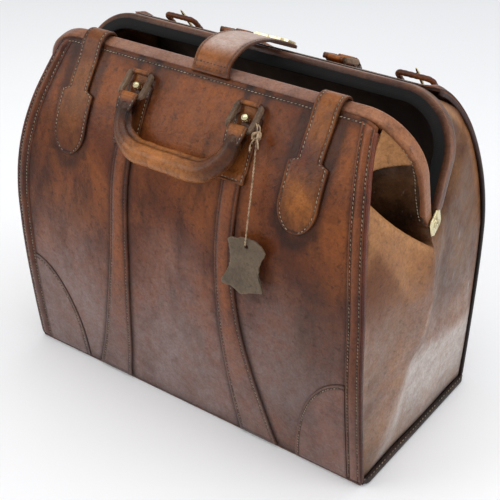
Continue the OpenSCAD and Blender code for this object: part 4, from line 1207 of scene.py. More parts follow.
def makeGusset(side, hand):
    # one half of a gusset, its leather laid inwards along the sheet's own normal
    cols = gusset["cols"]
    # the last column is a hair wide, so that the cut edge doesn't shade the hide beside it
    u = np.append(np.linspace(0, 0.998, cols - 1), 1.0)[None]
    lowQ = np.linspace(0, 1, gusset["lowRows"])[:, None]
    foldQ, upQ = (np.linspace(0, 1, gusset[key] + 1)[1:, None] for key in ("foldRows", "upRows"))
    # how far below the flat corner's edge a point of the upper part lies
    below = gusset["flapLow"] + (1 - gusset["flapLow"]) * (u / gusset["flapWide"]) ** 0.85 - upQ
    outer = gussetSheet(side, u, lowQ, foldQ, upQ, below)
    n = unit(np.cross(np.gradient(outer, axis=1), np.gradient(outer, axis=0)))
    n = n if n[10, cols // 2, 0] > 0 else -n
    inner = outer - n * gusset["thick"]
    q = np.concatenate([lowQ, 1 + foldQ * 0.2, 1.2 + upQ])
    # how deep a point lies in the pocket under the band: it sets the pocket's painted shade and where the
    # painted light on the flat corner ends
    deep = np.concatenate([0 * lowQ + 0 * u, foldQ + 0 * u, ramp(below, -0.015, 0.03)])
    masks = gussetMasks(side, hand, outer[..., 1], outer[..., 2], u, q, deep)
    r = len(outer) - gusset["sewnBelowTop"][side]
    keep = slice(2, cols - 6)
    row, rowN = outer[r, keep] + n[r, keep] * 0.2, n[r, keep]
    outer, inner, row, rowN = (v * [hand, 1, 1] for v in (outer, inner, row, rowN))
    piece = slab("gusset" + handName[hand] + sideName[side].capitalize(), outer, inner, "gusset", masks)
    bend(piece, side, "gusset_hide", "gusset_" + handName[hand].lower())
    return smoothLine(row, 150, 1), resample(rowN, 150)


for side in (front, rear):
    rows = [makeGusset(side, hand) for hand in (-1, 1)]
    bend(stitchRows(sideName[side] + "GussetStitches", rows, size=1.1), side, "rope")
print("gussets made")


# jaws, in millimetres: the lip laps over the wall's top edge
jawBand = {"lip": 6.2, "proud": 3.3, "rise": 0.7, "n": 260, "dustAndSheen": {front: 0.5, rear: 0.25}}


def jawPath(inset, n):
    # up one leg, round the corner, across and down the other leg
    half, r = jaw["half"] - inset, jaw["corner"] - inset
    leg = jaw["reach"] - jaw["corner"] - jaw["foot"]
    arc = jaw["corner"] * np.pi / 2
    flat = jaw["half"] - jaw["corner"]
    s = np.linspace(0, leg + arc + flat, n)
    a = np.clip((s - leg) / jaw["corner"], 0, np.pi / 2)
    x = half - r + r * np.cos(a) - np.clip(s - leg - arc, 0, flat)
    foot = (jaw["foot"] - jaw["showFoot"]) * (1 - ramp(s, 0, leg))
    z = jaw["foot"] + np.clip(s, 0, leg) + r * np.sin(a) - foot
    left = np.stack([-x, z], -1)
    right = np.stack([x, z], -1)[::-1][1:]
    return np.concatenate([left, right]), np.concatenate([s, s[::-1][1:]])


def jawSection():
    # (out, up) round the band: up the meeting face, over the round top, down the lip and back under
    t, lip, deep = jaw["thick"], jawBand["lip"], jaw["deep"]
    over = t + jawBand["proud"]
    a = np.linspace(0, np.pi / 2, 7)
    return np.concatenate([
        [(0.15, 1.2 - deep), (0.15, -10), (0.15, -4.9), (0.15, -4.3)],
        np.stack([3.4 - 3.25 * np.cos(a), -2.9 + 3.4 * np.sin(a)], -1),
        [(t / 2 + 1.0, jawBand["rise"])],
        np.stack([over - 3.9 + 3.9 * np.sin(a), -3.1 + 3.6 * np.cos(a)], -1),
        [(over - 0.05, -4.6), (over - 0.3, 0.2 - lip), (over - 1.1, -lip - 0.2), (t + 0.25, -lip - 0.2),
         (t, -lip - 1.2), (t, -10), (t, 1.2 - deep), (t - 1.2, -deep), (1.2, -deep)]])


def jawMasks(side, s, out, down):
    # painted shade under the lip and down the inside faces, wear along the rim and dust on its top
    t, lip = jaw["thick"], jawBand["lip"]
    seam = 0.85 * near(down, lip + 0.3, 1.6) * (out > t * 0.6) + 0.8 * ramp(down, 8, 13)
    seam = np.clip(seam + 0.45 * ramp(down, 3.5, 6) * (out < 1), 0, 1)
    seam = np.clip(seam + 0.3 * (1 - ramp(s, 0, 14)), 0, 1)
    wearAndPaintedLight = 0.85 * (1 - ramp(down, 1.0, 4.5)) * (0.35 + 0.65 * near(s, 95, 75))
    dustAndSheen = jawBand["dustAndSheen"][side] * (1 - ramp(down, 3, 9)) * ramp(s, 120, 230)
    # the rear band, seen from inside the mouth, is painted darker all over and darker still on its inner face
    # and lip: painted shade
    if side == rear:
        wearAndPaintedLight = wearAndPaintedLight * 0.7
        seam = np.clip(seam + 0.55 * (1 - near(out, 4.5, 4.5)) + 0.15, 0, 1)
    return {"seam": seam, "wearAndPaintedLight": wearAndPaintedLight, "dustAndSheen": dustAndSheen}


def makeJaw(side):
    # the section carried round the jaw's path; the lip shrinks down the legs, the feet draw in to the hinge
    line, s = jawPath(0, jawBand["n"])
    sec = jawSection()
    s = s[:, None]
    rows, cols, t = len(line), len(sec), jaw["thick"]
    out, down = sec[:, 0][None], -sec[:, 1][None]
    close = 0.70 + 0.30 * ramp(s, 0, 14)
    outs = np.where(out > t, t + (out - t) * (0.25 + 0.75 * ramp(s, 25, 105)), out)
    outs = outs * np.where(out > 0.2, close, 1)
    lines = [jawPath(-up, jawBand["n"])[0] for up in sec[:, 1]]
    pts = np.stack([jawPoint(side, l[:, 0], outs[:, k], l[:, 1]) for k, l in enumerate(lines)], 1)
    mid = jawPoint(side, line[:, 0] * 0.965, t / 2 * close[:, 0], line[:, 1] - 4)[:, None]
    q = quadGrid(rows, cols, False, True)
    ends = [list(range(cols)), list(range(rows * cols - 1, (rows - 1) * cols - 1, -1))]
    if not outwards(pts, q, pts - mid):
        q, ends = q[:, ::-1], [e[::-1] for e in ends]
    masks = onGrid(jawMasks(side, s, out, down), rows, cols)
    piece = build(sideName[side] + "JawCover", pts, q, "jaw", masks, caps=ends)
    # the meeting face is covered up to a little below the rim in a near-black cloth, darker than the lining:
    # painted shade inside the mouth
    piece.data.materials.append(look["mouthShadeCloth"])
    lined = np.zeros(len(piece.data.polygons), np.int32)
    lined[:len(q)] = np.isin(np.arange(len(q)) % cols, (0, 1, cols - 1))
    piece.data.polygons.foreach_set("material_index", lined)
    carry(piece, jawBody[side], "jaw_hide", sideName[side] + "_jaw_cover")


for side in (front, rear):
    makeJaw(side)


# the plate's eyelet as (radius, height) and the plate itself as (part of its outline, height)
plate = {"x": 222.75, "high": 25.0, "wide": 20.5, "turn": -16.0, "points": 96,
         "eyelet": [(1.7, -0.2), (1.8, 1.2), (2.3, 1.9), (3.1, 2.1), (3.8, 1.75), (4.2, 1.1)],
         "flat": [(0.7, 1.05), (0.93, 1.05), (0.985, 0.8), (1.0, 0.35), (1.0, -0.35), (0.96, -0.6)]}


def makeHinges():
    # rings from the eyelet's hole out over its rolled rim, then the flat plate to its edge
    a = math.radians(plate["turn"])
    h, w, n = plate["high"] / 2, plate["wide"] / 2, plate["points"]
    shape = np.array([(-3, h), (3, h), (w, 2), (w, -2), (3, -h), (-3, -h), (-w, -2), (-w, 2)], float)
    shape = resample(np.concatenate([shape, shape[:1]]), n + 1)[:-1]
    circle = unit(shape)
    pts = [(circle * k, up) for k, up in plate["eyelet"]] + [(shape * k, up) for k, up in plate["flat"]]
    pts = np.stack([np.concatenate([xy, np.full((n, 1), up)], -1) for xy, up in pts])
    yz = pts[..., :2] @ np.array([[math.cos(a), math.sin(a)], [-math.sin(a), math.cos(a)]])
    edge = quadGrid(3, n, False, True)
    parts = []
    for hand in (-1, 1):
        x = hand * (plate["x"] + pts[..., 2])
        xyz = np.stack([x, jaw["y"] + yz[..., 0], jaw["z"] + yz[..., 1]], -1)
        q = quadGrid(len(pts), n, False, True)
        back = [list(range(n)), list(range(len(pts) * n - 1, (len(pts) - 1) * n - 1, -1))]
        if not outwards(xyz[-4:-1], edge, xyz[-4:-1] - xyz[-4:-1].mean((0, 1))):
            q, back = q[:, ::-1], [b[::-1] for b in back]
        parts.append(build("hingePlate" + str(hand), xyz, q, "brass", caps=back))
    carry(join(parts, "hingePlates"), "bag_body", "brass", "hinge_plates")


makeHinges()
repaint("steel", "front_frame", "rear_frame")
repaint("brass", "hinge_pins")
print("jaws and hinges made")


# lining, in millimetres
lining = {"wall": 3.5, "thick": 1.1, "low": 150.0, "high": 341.0, "edge": 9.0}


def makeLining(side):
    # cloth hung inside the wall, its small folds drawn flat at top and bottom
    z = np.linspace(lining["low"], lining["high"], 70)[:, None]
    x = np.linspace(-1, 1, 90)[None] * (sideW(z) - lining["edge"])
    folds = 1.6 * np.sin(0.11 * x + 0.4) * np.sin(0.021 * z) + 1.1 * np.sin(0.23 * x + 0.05 * z)
    loose = ramp(z, 150, 200) * (1 - ramp(z, 300, 335))
    off = -lining["wall"] - 0.4 - 1.4 * (1 + np.tanh(folds)) * loose
    outer, inner = wallPoint(side, x, z, off - lining["thick"]), wallPoint(side, x, z, off)
    piece = slab(sideName[side] + "Lining", outer, inner, "cloth", {"wearAndPaintedLight": ramp(z, 300, 340)})
    bend(piece, side, "lining_cloth", sideName[side] + "_lining")


# the tub's rings: half length, half depth and height, up the outside, over the rim and down the inside
tub = {"power": 8.0, "points": 160,
       "rings": [(204, 100, 6.4), (204.6, 100.6, 12), (205, 101, 120), (205, 101, 184), (204, 100, 186),
                 (203.2, 99.2, 184), (203, 99, 120), (202.5, 98.6, 14), (201, 97, 8.6)]}


def makeTub():
    # open box whose corners are rounded as a superellipse: (cos^8 + sin^8) to the power -1/8
    n = tub["points"]
    a = np.linspace(0, 2 * np.pi, n, endpoint=False)
    c, s = np.cos(a), np.sin(a)
    out = (np.abs(c) ** tub["power"] + np.abs(s) ** tub["power"]) ** (-1 / tub["power"])
    pts = np.stack([np.stack([x * c * out, y * s * out, np.full_like(a, z)], -1) for x, y, z in tub["rings"]])
    q = quadGrid(len(pts), n, False, True)
    caps = [list(range(n))[::-1], list(range((len(pts) - 1) * n, len(pts) * n))]
    if not outwards(pts[1:4], quadGrid(3, n, False, True), pts[1:4] - [0, 0, 90]):
        q, caps = q[:, ::-1], [c[::-1] for c in caps]
    carry(build("liningTub", pts, q, "cloth", caps=caps), "bag_body", "lining_cloth", "lining_tub")


for side in (front, rear):
    makeLining(side)
makeTub()
repaint("board", "base_board")
print("lining made")


# ribbons of leather, in millimetres
def ribbon(name, line, x0, half, thick, material, side=1, edge=1.2, across=20, masks=None, groove=3.2):
    # a strip carried along a line of (y, z) points; half is its half width at each point
    line = np.asarray(line, float)
    t = along(line)
    n = np.stack([-t[:, 1], t[:, 0]], -1) * side
    k = spread(across)[None]
    half = np.broadcast_to(half, len(line))[:, None]
    s = cumLength(line)[:, None]
    x = x0 + k * half
    dist = np.minimum((1 - np.abs(k)) * half, np.minimum(s, s[-1] - s) + 0.35)
    h = rolledEdge(dist, thick, edge) - (0.45 * near(dist, groove, 1.3) if groove else 0)

    def lift(o):
        return np.stack([x, line[:, None, 0] + n[:, None, 0] * o, line[:, None, 1] + n[:, None, 1] * o], -1)

    m = {"seam": np.clip((0.8 * near(dist, groove, 1.9) if groove else 0) + 0.75 * near(dist, 0, 1.5), 0, 1)}
    for key, v in (masks or {}).items():
        m[key] = np.clip(m.get(key, 0) + np.broadcast_to(v, dist.shape), 0, 1)
    return slab(name, lift(h), lift(np.zeros_like(h)), material, m), (line, n)


def ribbonRow(lineData, x, lift):
    # a row of thread along a ribbon, and the way off its face
    line, n = lineData
    x, lift = np.broadcast_to(x, len(line)), np.broadcast_to(lift, len(line))
    return (np.stack([x, line[:, 0] + n[:, 0] * lift, line[:, 1] + n[:, 1] * lift], -1),
            np.stack([np.zeros(len(line)), n[:, 0], n[:, 1]], -1))


def crossRow(lineData, x, i, lift):
    # a row of thread across a ribbon, at its point i
    line, n = lineData
    y, z = line[i] + n[i] * lift
    row = np.stack([x, np.full(len(x), y), np.full(len(x), z)], -1)
    return row, np.broadcast_to([0, *n[i]], row.shape)


def roundEnd(half, end, r):
    # the half width near an end, its corners cut to quarter circles of r
    return np.where(end < r, half - r + np.sqrt(np.clip(r * r - (r - end) ** 2, 0, r * r)), half)


def wallLine(side, z, off, x):
    # the wall's own line of (y, z) points above x
    return wallPoint(side, x, z, off)[:, 1:]


# over is the strap's way over the jaw as (out, up from the jaw's top)
strap = {"gap": 274.0, "w": 26.0, "paddle": 42.0, "tip": 258.0, "tipLong": 26.0, "shoulder": 318.0,
         "thick": 2.6, "lip": 14.0, "tail": 120.0, "seam": 3.2, "wearAndPaintedLight": {-1: 0.12, 1: 1.0},
         "dirt": {-1: 0.32, 1: 0.0},
         "over": [(25.0, -5.6), (21.0, -1.2), (17.0, 2.6), (12.5, 4.9), (8.0, 5.2), (4.0, 3.8), (1.2, 1.4),
                  (-0.1, -2), (-0.2, -6), (-0.2, -14)]}


def makeStrap(hand):
    # up the wall and over the jaw; the paddle's tip is a half ellipse and its shoulders a short step
    x0 = bag["shift"] + hand * strap["gap"] / 2
    low = wallLine(front, np.linspace(strap["tip"], 346, 90), 0.25, x0)
    out, up = np.array(strap["over"]).T
    high = jawPoint(front, 0, out, jaw["reach"] + up)[:, 1:]
    line = smoothLine(resample(np.concatenate([low, smoothLine(high, 40, 2)]), 70), 150, 2)
    s = cumLength(line)
    a = np.interp(strap["shoulder"], low[:, 1], cumLength(low))
    half = 1 - (1 - np.clip(s / strap["tipLong"], 0, 1)) ** 2
    half = strap["paddle"] / 2 * np.sqrt(np.clip(half, 0.004, 1))
    step = (strap["paddle"] - strap["w"]) / 2 * (1 - ramp(s, a - 3, a + 1.5))
    half = np.where(s > a - 3, strap["w"] / 2 + step, half)
    wearAndPaintedLight = (0.85 * near(s, a * 0.5, a * 0.6) + 0.75 * ramp(s, a + 10, a + 34))[:, None]
    wearAndPaintedLight = wearAndPaintedLight * (1 - 0.5 * np.abs(spread(24))[None] ** 3) * strap["wearAndPaintedLight"][hand]
    piece, data = ribbon("strap" + handName[hand], line, x0, half, strap["thick"], "strap", across=24,
                         masks={"wearAndPaintedLight": wearAndPaintedLight, "seam": strap["dirt"][hand]})
    carry(piece, "front_jaw", "strap_hide", "strap_" + handName[hand].lower())
    rows = []
    for k in (-1, 1):
        x = x0 + k * np.maximum(half - strap["seam"], 0.2)
        row, n = ribbonRow(data, x, strap["thick"] - 0.35)
        rows.append((row[s > 1.5], n[s > 1.5]))
    return rows


rows = makeStrap(-1) + makeStrap(1)
carry(stitchRows("strapStitches", rows), "front_jaw", "rope")


# the strap's free end, which hangs inside the mouth, with its own row of holes
tail = {"thick": 2.5, "half": 13.0, "lean": 2.0, "bow": 2.2, "holes": 4, "holeR": 2.1, "apart": 18.0,
        "first": 8.0}


def makeTail(hand):
    # a line that leans a little and bows as half a sine, with a round tip
    x0 = bag["shift"] + hand * strap["gap"] / 2
    down = jaw["reach"] - strap["lip"] - strap["thick"] / 2 - 0.3
    y, z = jawPoint(front, 0, -strap["thick"] / 2, down)[1:]
    a = math.radians(tail["lean"])
    s = np.linspace(0, strap["tail"] + tail["half"], 90)
    out = 1.3 + tail["bow"] * np.sin(np.pi * np.clip(s / s[-1], 0, 1))
    line = np.stack([y + s * math.sin(a) + out, z + 1.2 - s * math.cos(a)], -1)
    tip = np.clip(s - strap["tail"], 0, tail["half"]) / (tail["half"] + 0.02)
    half = tail["half"] * np.sqrt(np.clip(1 - tip ** 2, 0.004, 1))
    piece, _ = ribbon("strapTail" + handName[hand], line, x0, half, tail["thick"], "strap",
                      masks={"wearAndPaintedLight": 0.4})
    holes = []
    for k in range(tail["holes"]):
        place = (x0 * mm, (y + 2) * mm, (z - strap["tail"] + tail["first"] + k * tail["apart"]) * mm)
        bpy.ops.mesh.primitive_cylinder_add(vertices=20, radius=tail["holeR"] * mm, depth=0.03,
                                            location=place, rotation=(math.pi / 2, 0, 0))
        holes.append(bpy.context.object)
    cutter = join(holes, "holeCutter")
    cut = piece.modifiers.new("holes", "BOOLEAN")
    cut.object = cutter
    cut.operation = "DIFFERENCE"
    cut.solver = "EXACT"
    with bpy.context.temp_override(object=piece, active_object=piece):
        bpy.ops.object.modifier_apply(modifier="holes")
    bpy.data.objects.remove(cutter)
    name = handName[hand].lower()
    carry(piece, "tail_" + name, "strap_hide", "strap_tail_" + name)


makeTail(-1)
makeTail(1)


# reach holds the (y, z) of the curve's third and last control points, over the mouth
tab = {"x": 5.0, "w": 44.0, "thick": 3.0, "plate": 24.0, "plateThick": 2.6, "round": 9, "plateRound": 12,
       "reach": [(-14, 391.85), (52, 353.85)], "crossSeams": (5.0, 8.5)}


def bendTab(piece):
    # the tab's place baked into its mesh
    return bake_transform(piece)


def makeTab():
    # a cubic curve over the mouth from its root, which is sewn down over the band's lip
    root = jawPoint(front, 0, jaw["thick"] + 2.0, jaw["reach"] + 2.3)[1:]
    line = resample(bezier([root, root + [6, 24], *tab["reach"]], np.linspace(0, 1, 120)), 120)
    foot = np.array([root + [-1.6, -3.4], root + [-0.9, -1.6]])
    line = resample(np.concatenate([foot, line]), 124)
    s = cumLength(line)
    half = tab["w"] / 2 - 1.2 * np.exp(-((s - 10) / 9) ** 2)
    half = roundEnd(half, s[-1] - s, tab["round"])
    k = np.abs(spread(24)[None])
    masks = {"wearAndPaintedLight": 0.35 * ramp(s, 8, 50)[:, None] * (1 - k ** 2 * 0.7),
             "dustAndSheen": (0.95 * ramp(s, 14, 34) * (1 - ramp(s, 84, 120)))[:, None] * (1 - 0.8 * k ** 4)}
    piece, data = ribbon("middleTab", line, tab["x"], half, tab["thick"], "strap", across=24, edge=1.3,
                         masks=masks, groove=2.6)
    stand(bendTab(piece), ["center_tab"])
    rows = [ribbonRow(data, tab["x"] + e * (half - 2.7), tab["thick"] - 0.35) for e in (-1, 1)]
    rows = [(p[4:-20], n[4:-20]) for p, n in rows]
    for at in tab["crossSeams"]:
        i = int(np.searchsorted(s, at))
        rows.append(crossRow(data, np.linspace(-18, 18, 30) + tab["x"], i, tab["thick"] + 0.05))
    bendTab(stitchRows("tabStitches", rows, "darkThread", size=0.85))
    # thick brass plate riding on the far end, its end rounded
    i = int(np.searchsorted(s, s[-1] - tab["plate"]))
    far = s[-1] - s[i:] + 0.8
    half = roundEnd((tab["w"] - 3) / 2, far, tab["plateRound"])
    plateLine = line[i:] + data[1][i:] * (tab["thick"] - 0.3)
    piece, _ = ribbon("tabPlate", plateLine, tab["x"], half, tab["plateThick"], "brass", across=24, edge=0.9,
                      groove=0)
    carry(piece, "tab", "brass", "tab_plate")


makeTab()
print("straps and tab made")


# handles, in millimetres and degrees; hang is how far a ring or a grip leans out from plumb
handle = {"gap": 128.0, "ringTop": 346.0, "lift": 5.2, "len": 26.0, "w": 30.0, "side": 4.0, "corner": 4.5,
          "foot": 284.0, "chapeW": 30.0, "chapeTop": 10.6, "hang": {front: 48.0, rear: 68.0},
          "gripHang": {front: 34.0, rear: 44.0}, "mid": 22.0, "end": 17.0, "low": 48.0, "bend": 35.0,
          "stem": 8.0}


def axisOff(side, z, lift):
    # (y, z) of an axis that stands off the wall at a height
    d = np.interp(z, walls[side]["z"], walls[side]["d"])
    a = wallLean(side, z)
    return np.array([side * (d + lift * math.cos(a)), z + lift * math.sin(a)])


def ringAxis(side):
    return axisOff(side, handle["ringTop"], handle["lift"])


def lowBar(side):
    # the ring's lower bar, one ring's length down its own lean
    a = math.radians(handle["hang"][side])
    return ringAxis(side) + np.array([side * handle["len"] * math.sin(a), -handle["len"] * math.cos(a)])


def makeChape(side, hand):
    # up the wall, round the ring's bar and down in front, narrower where it turns
    x0 = bag["shift"] + hand * handle["gap"] / 2
    z = np.linspace(handle["foot"], 338, 60)
    low = wallLine(side, z, 0.25 + 2.3 * (1 - ramp(z, 291, 296)), x0)
    y, top = ringAxis(side)
    ang = np.radians(200 - 285 * np.linspace(0, 1, 40))
    curl = np.stack([y + side * 2.55 * np.cos(ang), top + 2.55 * np.sin(ang)], -1)
    line = smoothLine(resample(np.concatenate([low, curl]), 110), 150, 1)
    s = cumLength(line)
    at = cumLength(low)[-1]
    half = np.interp(s, [at - 2, at + 2.5], [handle["chapeW"] / 2, handle["chapeTop"]])
    masks = {"wearAndPaintedLight": 0.75 * ramp(s, at - 2, at + 8)[:, None] * (1 - spread(20)[None] ** 4),
             "seam": 0.5 * near(s, at - 10, 14)[:, None]}
    piece, data = ribbon(sideName[side] + "Chape" + handName[hand], line, x0, half, 1.75, "strap", side=-side,
                         masks=masks, groove=2.8)
    carry(piece, jawBody[side], "trim_hide", sideName[side] + "_chape_" + handName[hand].lower())
    i = int(np.searchsorted(s, at - 4))
    rows = [ribbonRow(data, x0 + e * (half - 2.8), 1.45) for e in (-1, 1)]
    rows = [(p[4:i], n[4:i]) for p, n in rows]
    rows.append(crossRow(data, x0 + np.linspace(-11, 11, 20), int(np.searchsorted(s, 3.2)), 1.5))
    return rows


def loopFrame(side, hang):
    # a hanging loop's own axes: across the bag, down the loop, and square to both
    a = math.radians(hang)
    down = np.array([0, side * math.sin(a), -math.cos(a)])
    return np.array([1.0, 0, 0]), down, np.cross([1.0, 0, 0], down)


def roundedLoop(w, h, rTop, rFoot, n):
    # n even points round a rectangle of half sizes w and h, its corners quarter circles
    a = np.linspace(0, np.pi / 2, 9)
    pts = []
    for k, (sx, sy) in enumerate(((1, 1), (-1, 1), (-1, -1), (1, -1))):
        r = rTop if sy > 0 else rFoot
        turn = a + k * np.pi / 2
        pts.append(np.stack([sx * (w - r) + r * np.cos(turn), sy * (h - r) + r * np.sin(turn)], -1))
    pts = np.concatenate(pts)
    return resample(np.concatenate([pts, pts[:1]]), n + 1)[:-1]


def makeRing(side, hand):
    # a rounded rectangle of stacked leather, flatter and ragged at its sides
    c = np.array([bag["shift"] + hand * handle["gap"] / 2, *ringAxis(side)])
    ex, down, out = loopFrame(side, handle["hang"][side])
    w = (handle["w"] - handle["side"]) / 2
    p = roundedLoop(w, handle["len"] / 2 + 0.1, handle["corner"], handle["corner"], 120)
    path = c + p[:, :1] * ex + (handle["len"] / 2 - p[:, 1:]) * down
    onSide = ramp(np.abs(p[:, :1]), w - 3, w - 0.5)
    square = boxSection(2, 2, 0.55, 4)[None]
    rag = 1 + 0.05 * np.random.default_rng(11 + hand + 5 * side).normal(size=(120, 1)) * onSide
    tall, wide = square[..., 0] * (1.95 + 0.95 * onSide) * rag, square[..., 1] * (1.9 + 0.35 * onSide)
    section = np.stack([tall, wide], -1)
    rim = np.abs(square[..., 1]) * onSide
    masks = {"seam": np.clip(0.55 * (1 - onSide) + 0.4 * near(rim, 0.35, 0.4), 0, 1), "wearAndPaintedLight": 0.75 * rim}
    piece = sweep(sideName[side] + "Ring" + handName[hand], path, out, section, "rough", masks, closed=True)
    carry(piece, sideName[side] + "_rings", "grip_hide", sideName[side] + "_ring_" + handName[hand].lower())


# a ball on a turned foot, whose profile is (radius, height)
stud = {"z": {front: 335, rear: 338}, "off": 2.2, "ball": 4.4, "up": 4.3, "points": 28,
        "foot": [(0.02, -0.4), (2.4, -0.4), (2.9, 0.0), (3.0, 0.4), (2.7, 0.7), (2.5, 0.8)]}


def makeStud(side):
    # the profile turned about the wall's own normal
    m = stud["points"]
    lean = wallLean(side, stud["z"][side])
    n = np.array([0, side * math.cos(lean), math.sin(lean)])
    ang = np.linspace(0, 2 * np.pi, m, endpoint=False)[None, :, None]
    circle = np.cos(ang) * [1.0, 0, 0] + np.sin(ang) * np.cross(n, [1.0, 0, 0])
    v = np.linspace(0.62, np.pi - 0.02, 12)
    ball = np.stack([stud["ball"] * np.sin(v), stud["up"] - stud["ball"] * np.cos(v)], -1)
    profile = np.concatenate([stud["foot"], ball])[:, None]
    rows = len(profile)
    parts = []
    for hand in (-1, 1):
        x = bag["shift"] + hand * handle["gap"] / 2
        c = np.array([x, *axisOff(side, stud["z"][side], stud["off"])])
        pts = c + profile[..., 1:] * n + profile[..., :1] * circle
        q = quadGrid(rows, m, False, True)
        caps = [list(range(m)), list(range(rows * m - 1, (rows - 1) * m - 1, -1))]
        if not outwards(pts[8:], quadGrid(rows - 8, m, False, True), pts[8:] - (c + 4 * n)):
            q, caps = q[:, ::-1], [k[::-1] for k in caps]
        parts.append(build("stud", pts, q, "brass", caps=caps))
    carry(join(parts, sideName[side] + "Studs"), jawBody[side], "brass", sideName[side] + "_studs")


def gripPath(n):
    # half of the bow, mirrored: down a leg, round the bend, along the bottom
    low, b, half, stem = handle["low"], handle["bend"], handle["gap"] / 2, handle["stem"]
    leg = low - b - stem
    arc = b * np.pi / 2
    s = np.linspace(0, leg + arc + half - b, n)
    a = np.clip((s - leg) / b, 0, np.pi / 2)
    x = half - b + b * np.cos(a) - np.clip(s - leg - arc, 0, half)
    z = -stem - np.clip(s, 0, leg) - b * np.sin(a)
    p = np.stack([x, z], -1)
    return np.concatenate([p, (p * [-1, 1])[::-1][1:]]), np.concatenate([s, (2 * s[-1] - s)[::-1][1:]])


def withEnds(v):
    # the first and last rows three times over, for the shrinking rings that close the ends
    return np.concatenate([v[:1], v[:1], v, v[-1:], v[-1:]])


def makeGrip(side):
    # rings round the bow's path, thicker in the middle, with a raised seam on the bow's inside
    c = np.array([bag["shift"], *lowBar(side)])
    ex, down, out = loopFrame(side, handle["gripHang"][side])
    p, s = gripPath(90)
    s = s[:, None]
    end = np.minimum(s, s[-1] - s)
    r = handle["end"] / 2 + (handle["mid"] - handle["end"]) / 2 * ramp(end, 8, 60)
    r = r * (0.90 + 0.10 * ramp(end, 2, 12)) * (0.82 + 0.18 * ramp(end, 0, 5))
    path = c + p[:, :1] * ex - p[:, 1:] * down
    m = 40
    a = np.linspace(0, 2 * np.pi, m, endpoint=False)[None]
    t = along(path)
    inside = np.cross(t, np.broadcast_to(out, path.shape))
    half = len(path) // 2
    inside = inside * np.sign(((c + 20 * down - path[half]) * inside[half]).sum())
    fromSeam = np.abs(np.arctan2(np.sin(a), np.cos(a)))
    r = r * (1 - 0.03 * np.cos(2 * a))
    r = r + 2.3 * np.exp(-(fromSeam / 0.20) ** 2) * ramp(end, 3, 12)
    r = r - 0.9 * np.exp(-((fromSeam - 0.52) / 0.17) ** 2) * ramp(end, 3, 12)
    r = r + 0.28 * np.sin(s / 9.0) * np.cos(a * 2 + 0.7) + 0.2 * np.sin(s / 4.3 + 1) * np.cos(a + 0.2)
    pts = path[:, None] + r[..., None] * (np.cos(a)[..., None] * inside[:, None] + np.sin(a)[..., None] * out)
    pts = withEnds(pts)
    for i, k, beyond in ((0, 0.3, -2.6), (1, 0.72, -2.0), (-2, 0.72, 2.0), (-1, 0.3, 2.6)):
        at, way = (path[0], t[0]) if i >= 0 else (path[-1], t[-1])
        pts[i] = at + (pts[i] - at) * k + way * beyond
    rows = len(pts)
    q = quadGrid(rows, m, False, True)
    caps = [list(range(m)), list(range(rows * m - 1, (rows - 1) * m - 1, -1))]
    if not outwards(pts, q, pts - withEnds(path)[:, None]):
        q, caps = q[:, ::-1], [k[::-1] for k in caps]
    seam = 0.75 * np.exp(-((fromSeam - 0.50) / 0.20) ** 2) + 0.85 * (1 - ramp(end, 8, 22))
    wearAndPaintedLight = 1.15 * ramp(end, 30, 80) * (0.72 - 0.42 * np.cos(a)) + 0.08
    masks = {"seam": withEnds(np.clip(seam, 0, 1)).ravel(), "wearAndPaintedLight": withEnds(np.clip(wearAndPaintedLight, 0, 1)).ravel()}
    piece = build(sideName[side] + "Grip", pts, q, "grip", masks, caps=caps)
    carry(piece, sideName[side] + "_handle", "grip_hide", sideName[side] + "_grip")
    rows = makeCollar(side, -1) + makeCollar(side, 1)
    threads = stitchRows(sideName[side] + "GripStitches", rows, pitch=4.0, size=0.9)
    carry(threads, sideName[side] + "_handle", "rope")
    repaint("raffia", sideName[side] + "_grip_core")


# the roll round the ring's bar and a flat tongue each side of it: (out, up) in the grip's hanging frame
collar = {"half": 10.5, "tip": 1.8, "thick": 1.75, "roll": 2.5, "seam": 2.3,
          "back": ((-3.2, -15), (-2.6, -1.5)), "ahead": ((2.6, -1.5), (3.2, -15))}


def makeCollar(side, hand):
    # down one tongue, round the bar and down the other, each tongue drawn in towards its tip
    x0 = bag["shift"] + hand * handle["gap"] / 2
    down, out = loopFrame(side, handle["gripHang"][side])[1:]
    k = np.linspace(0, 1, 30)[:, None]
    back, ahead = (np.array(a) * (1 - k) + np.array(b) * k for a, b in (collar["back"], collar["ahead"]))
    ang = np.radians(np.linspace(240, -60, 30))
    roll = collar["roll"] * np.stack([np.cos(ang), np.sin(ang)], -1)
    flat = smoothLine(resample(np.concatenate([back, roll, ahead]), 100), 140, 1)
    line = lowBar(side) + flat[:, :1] * out[1:] - flat[:, 1:] * down[1:]
    depth = -flat[:, 1]
    half = collar["half"] - collar["tip"] * ramp(depth, 3.5, 15)
    masks = {"wearAndPaintedLight": 0.7 * (1 - ramp(depth, 0, 6))[:, None], "seam": 0.85 * ramp(depth, 3, 9)[:, None]}
    way = np.gradient(line, axis=0)
    away = ((line - lowBar(side)) * np.stack([-way[:, 1], way[:, 0]], -1)).sum()
    piece, data = ribbon(sideName[side] + "Collar" + handName[hand], line, x0, half, collar["thick"], "strap",
                         side=1 if away > 0 else -1, masks=masks, groove=2.2)
    carry(piece, sideName[side] + "_handle", "grip_hide")
    cut = int(len(line) * 0.30)
    rows = []
    for e in (-1, 1):
        p, n = ribbonRow(data, x0 + e * (half - collar["seam"]), 1.5)
        rows += [(p[3:cut], n[3:cut]), (p[-cut:-3], n[-cut:-3])]
    return rows


for side in (front, rear):
    rows = []
    for hand in (-1, 1):
        rows += makeChape(side, hand)
        makeRing(side, hand)
    carry(stitchRows(sideName[side] + "ChapeStitches", rows), jawBody[side], "rope")
    makeStud(side)
    makeGrip(side)
print("handles made")


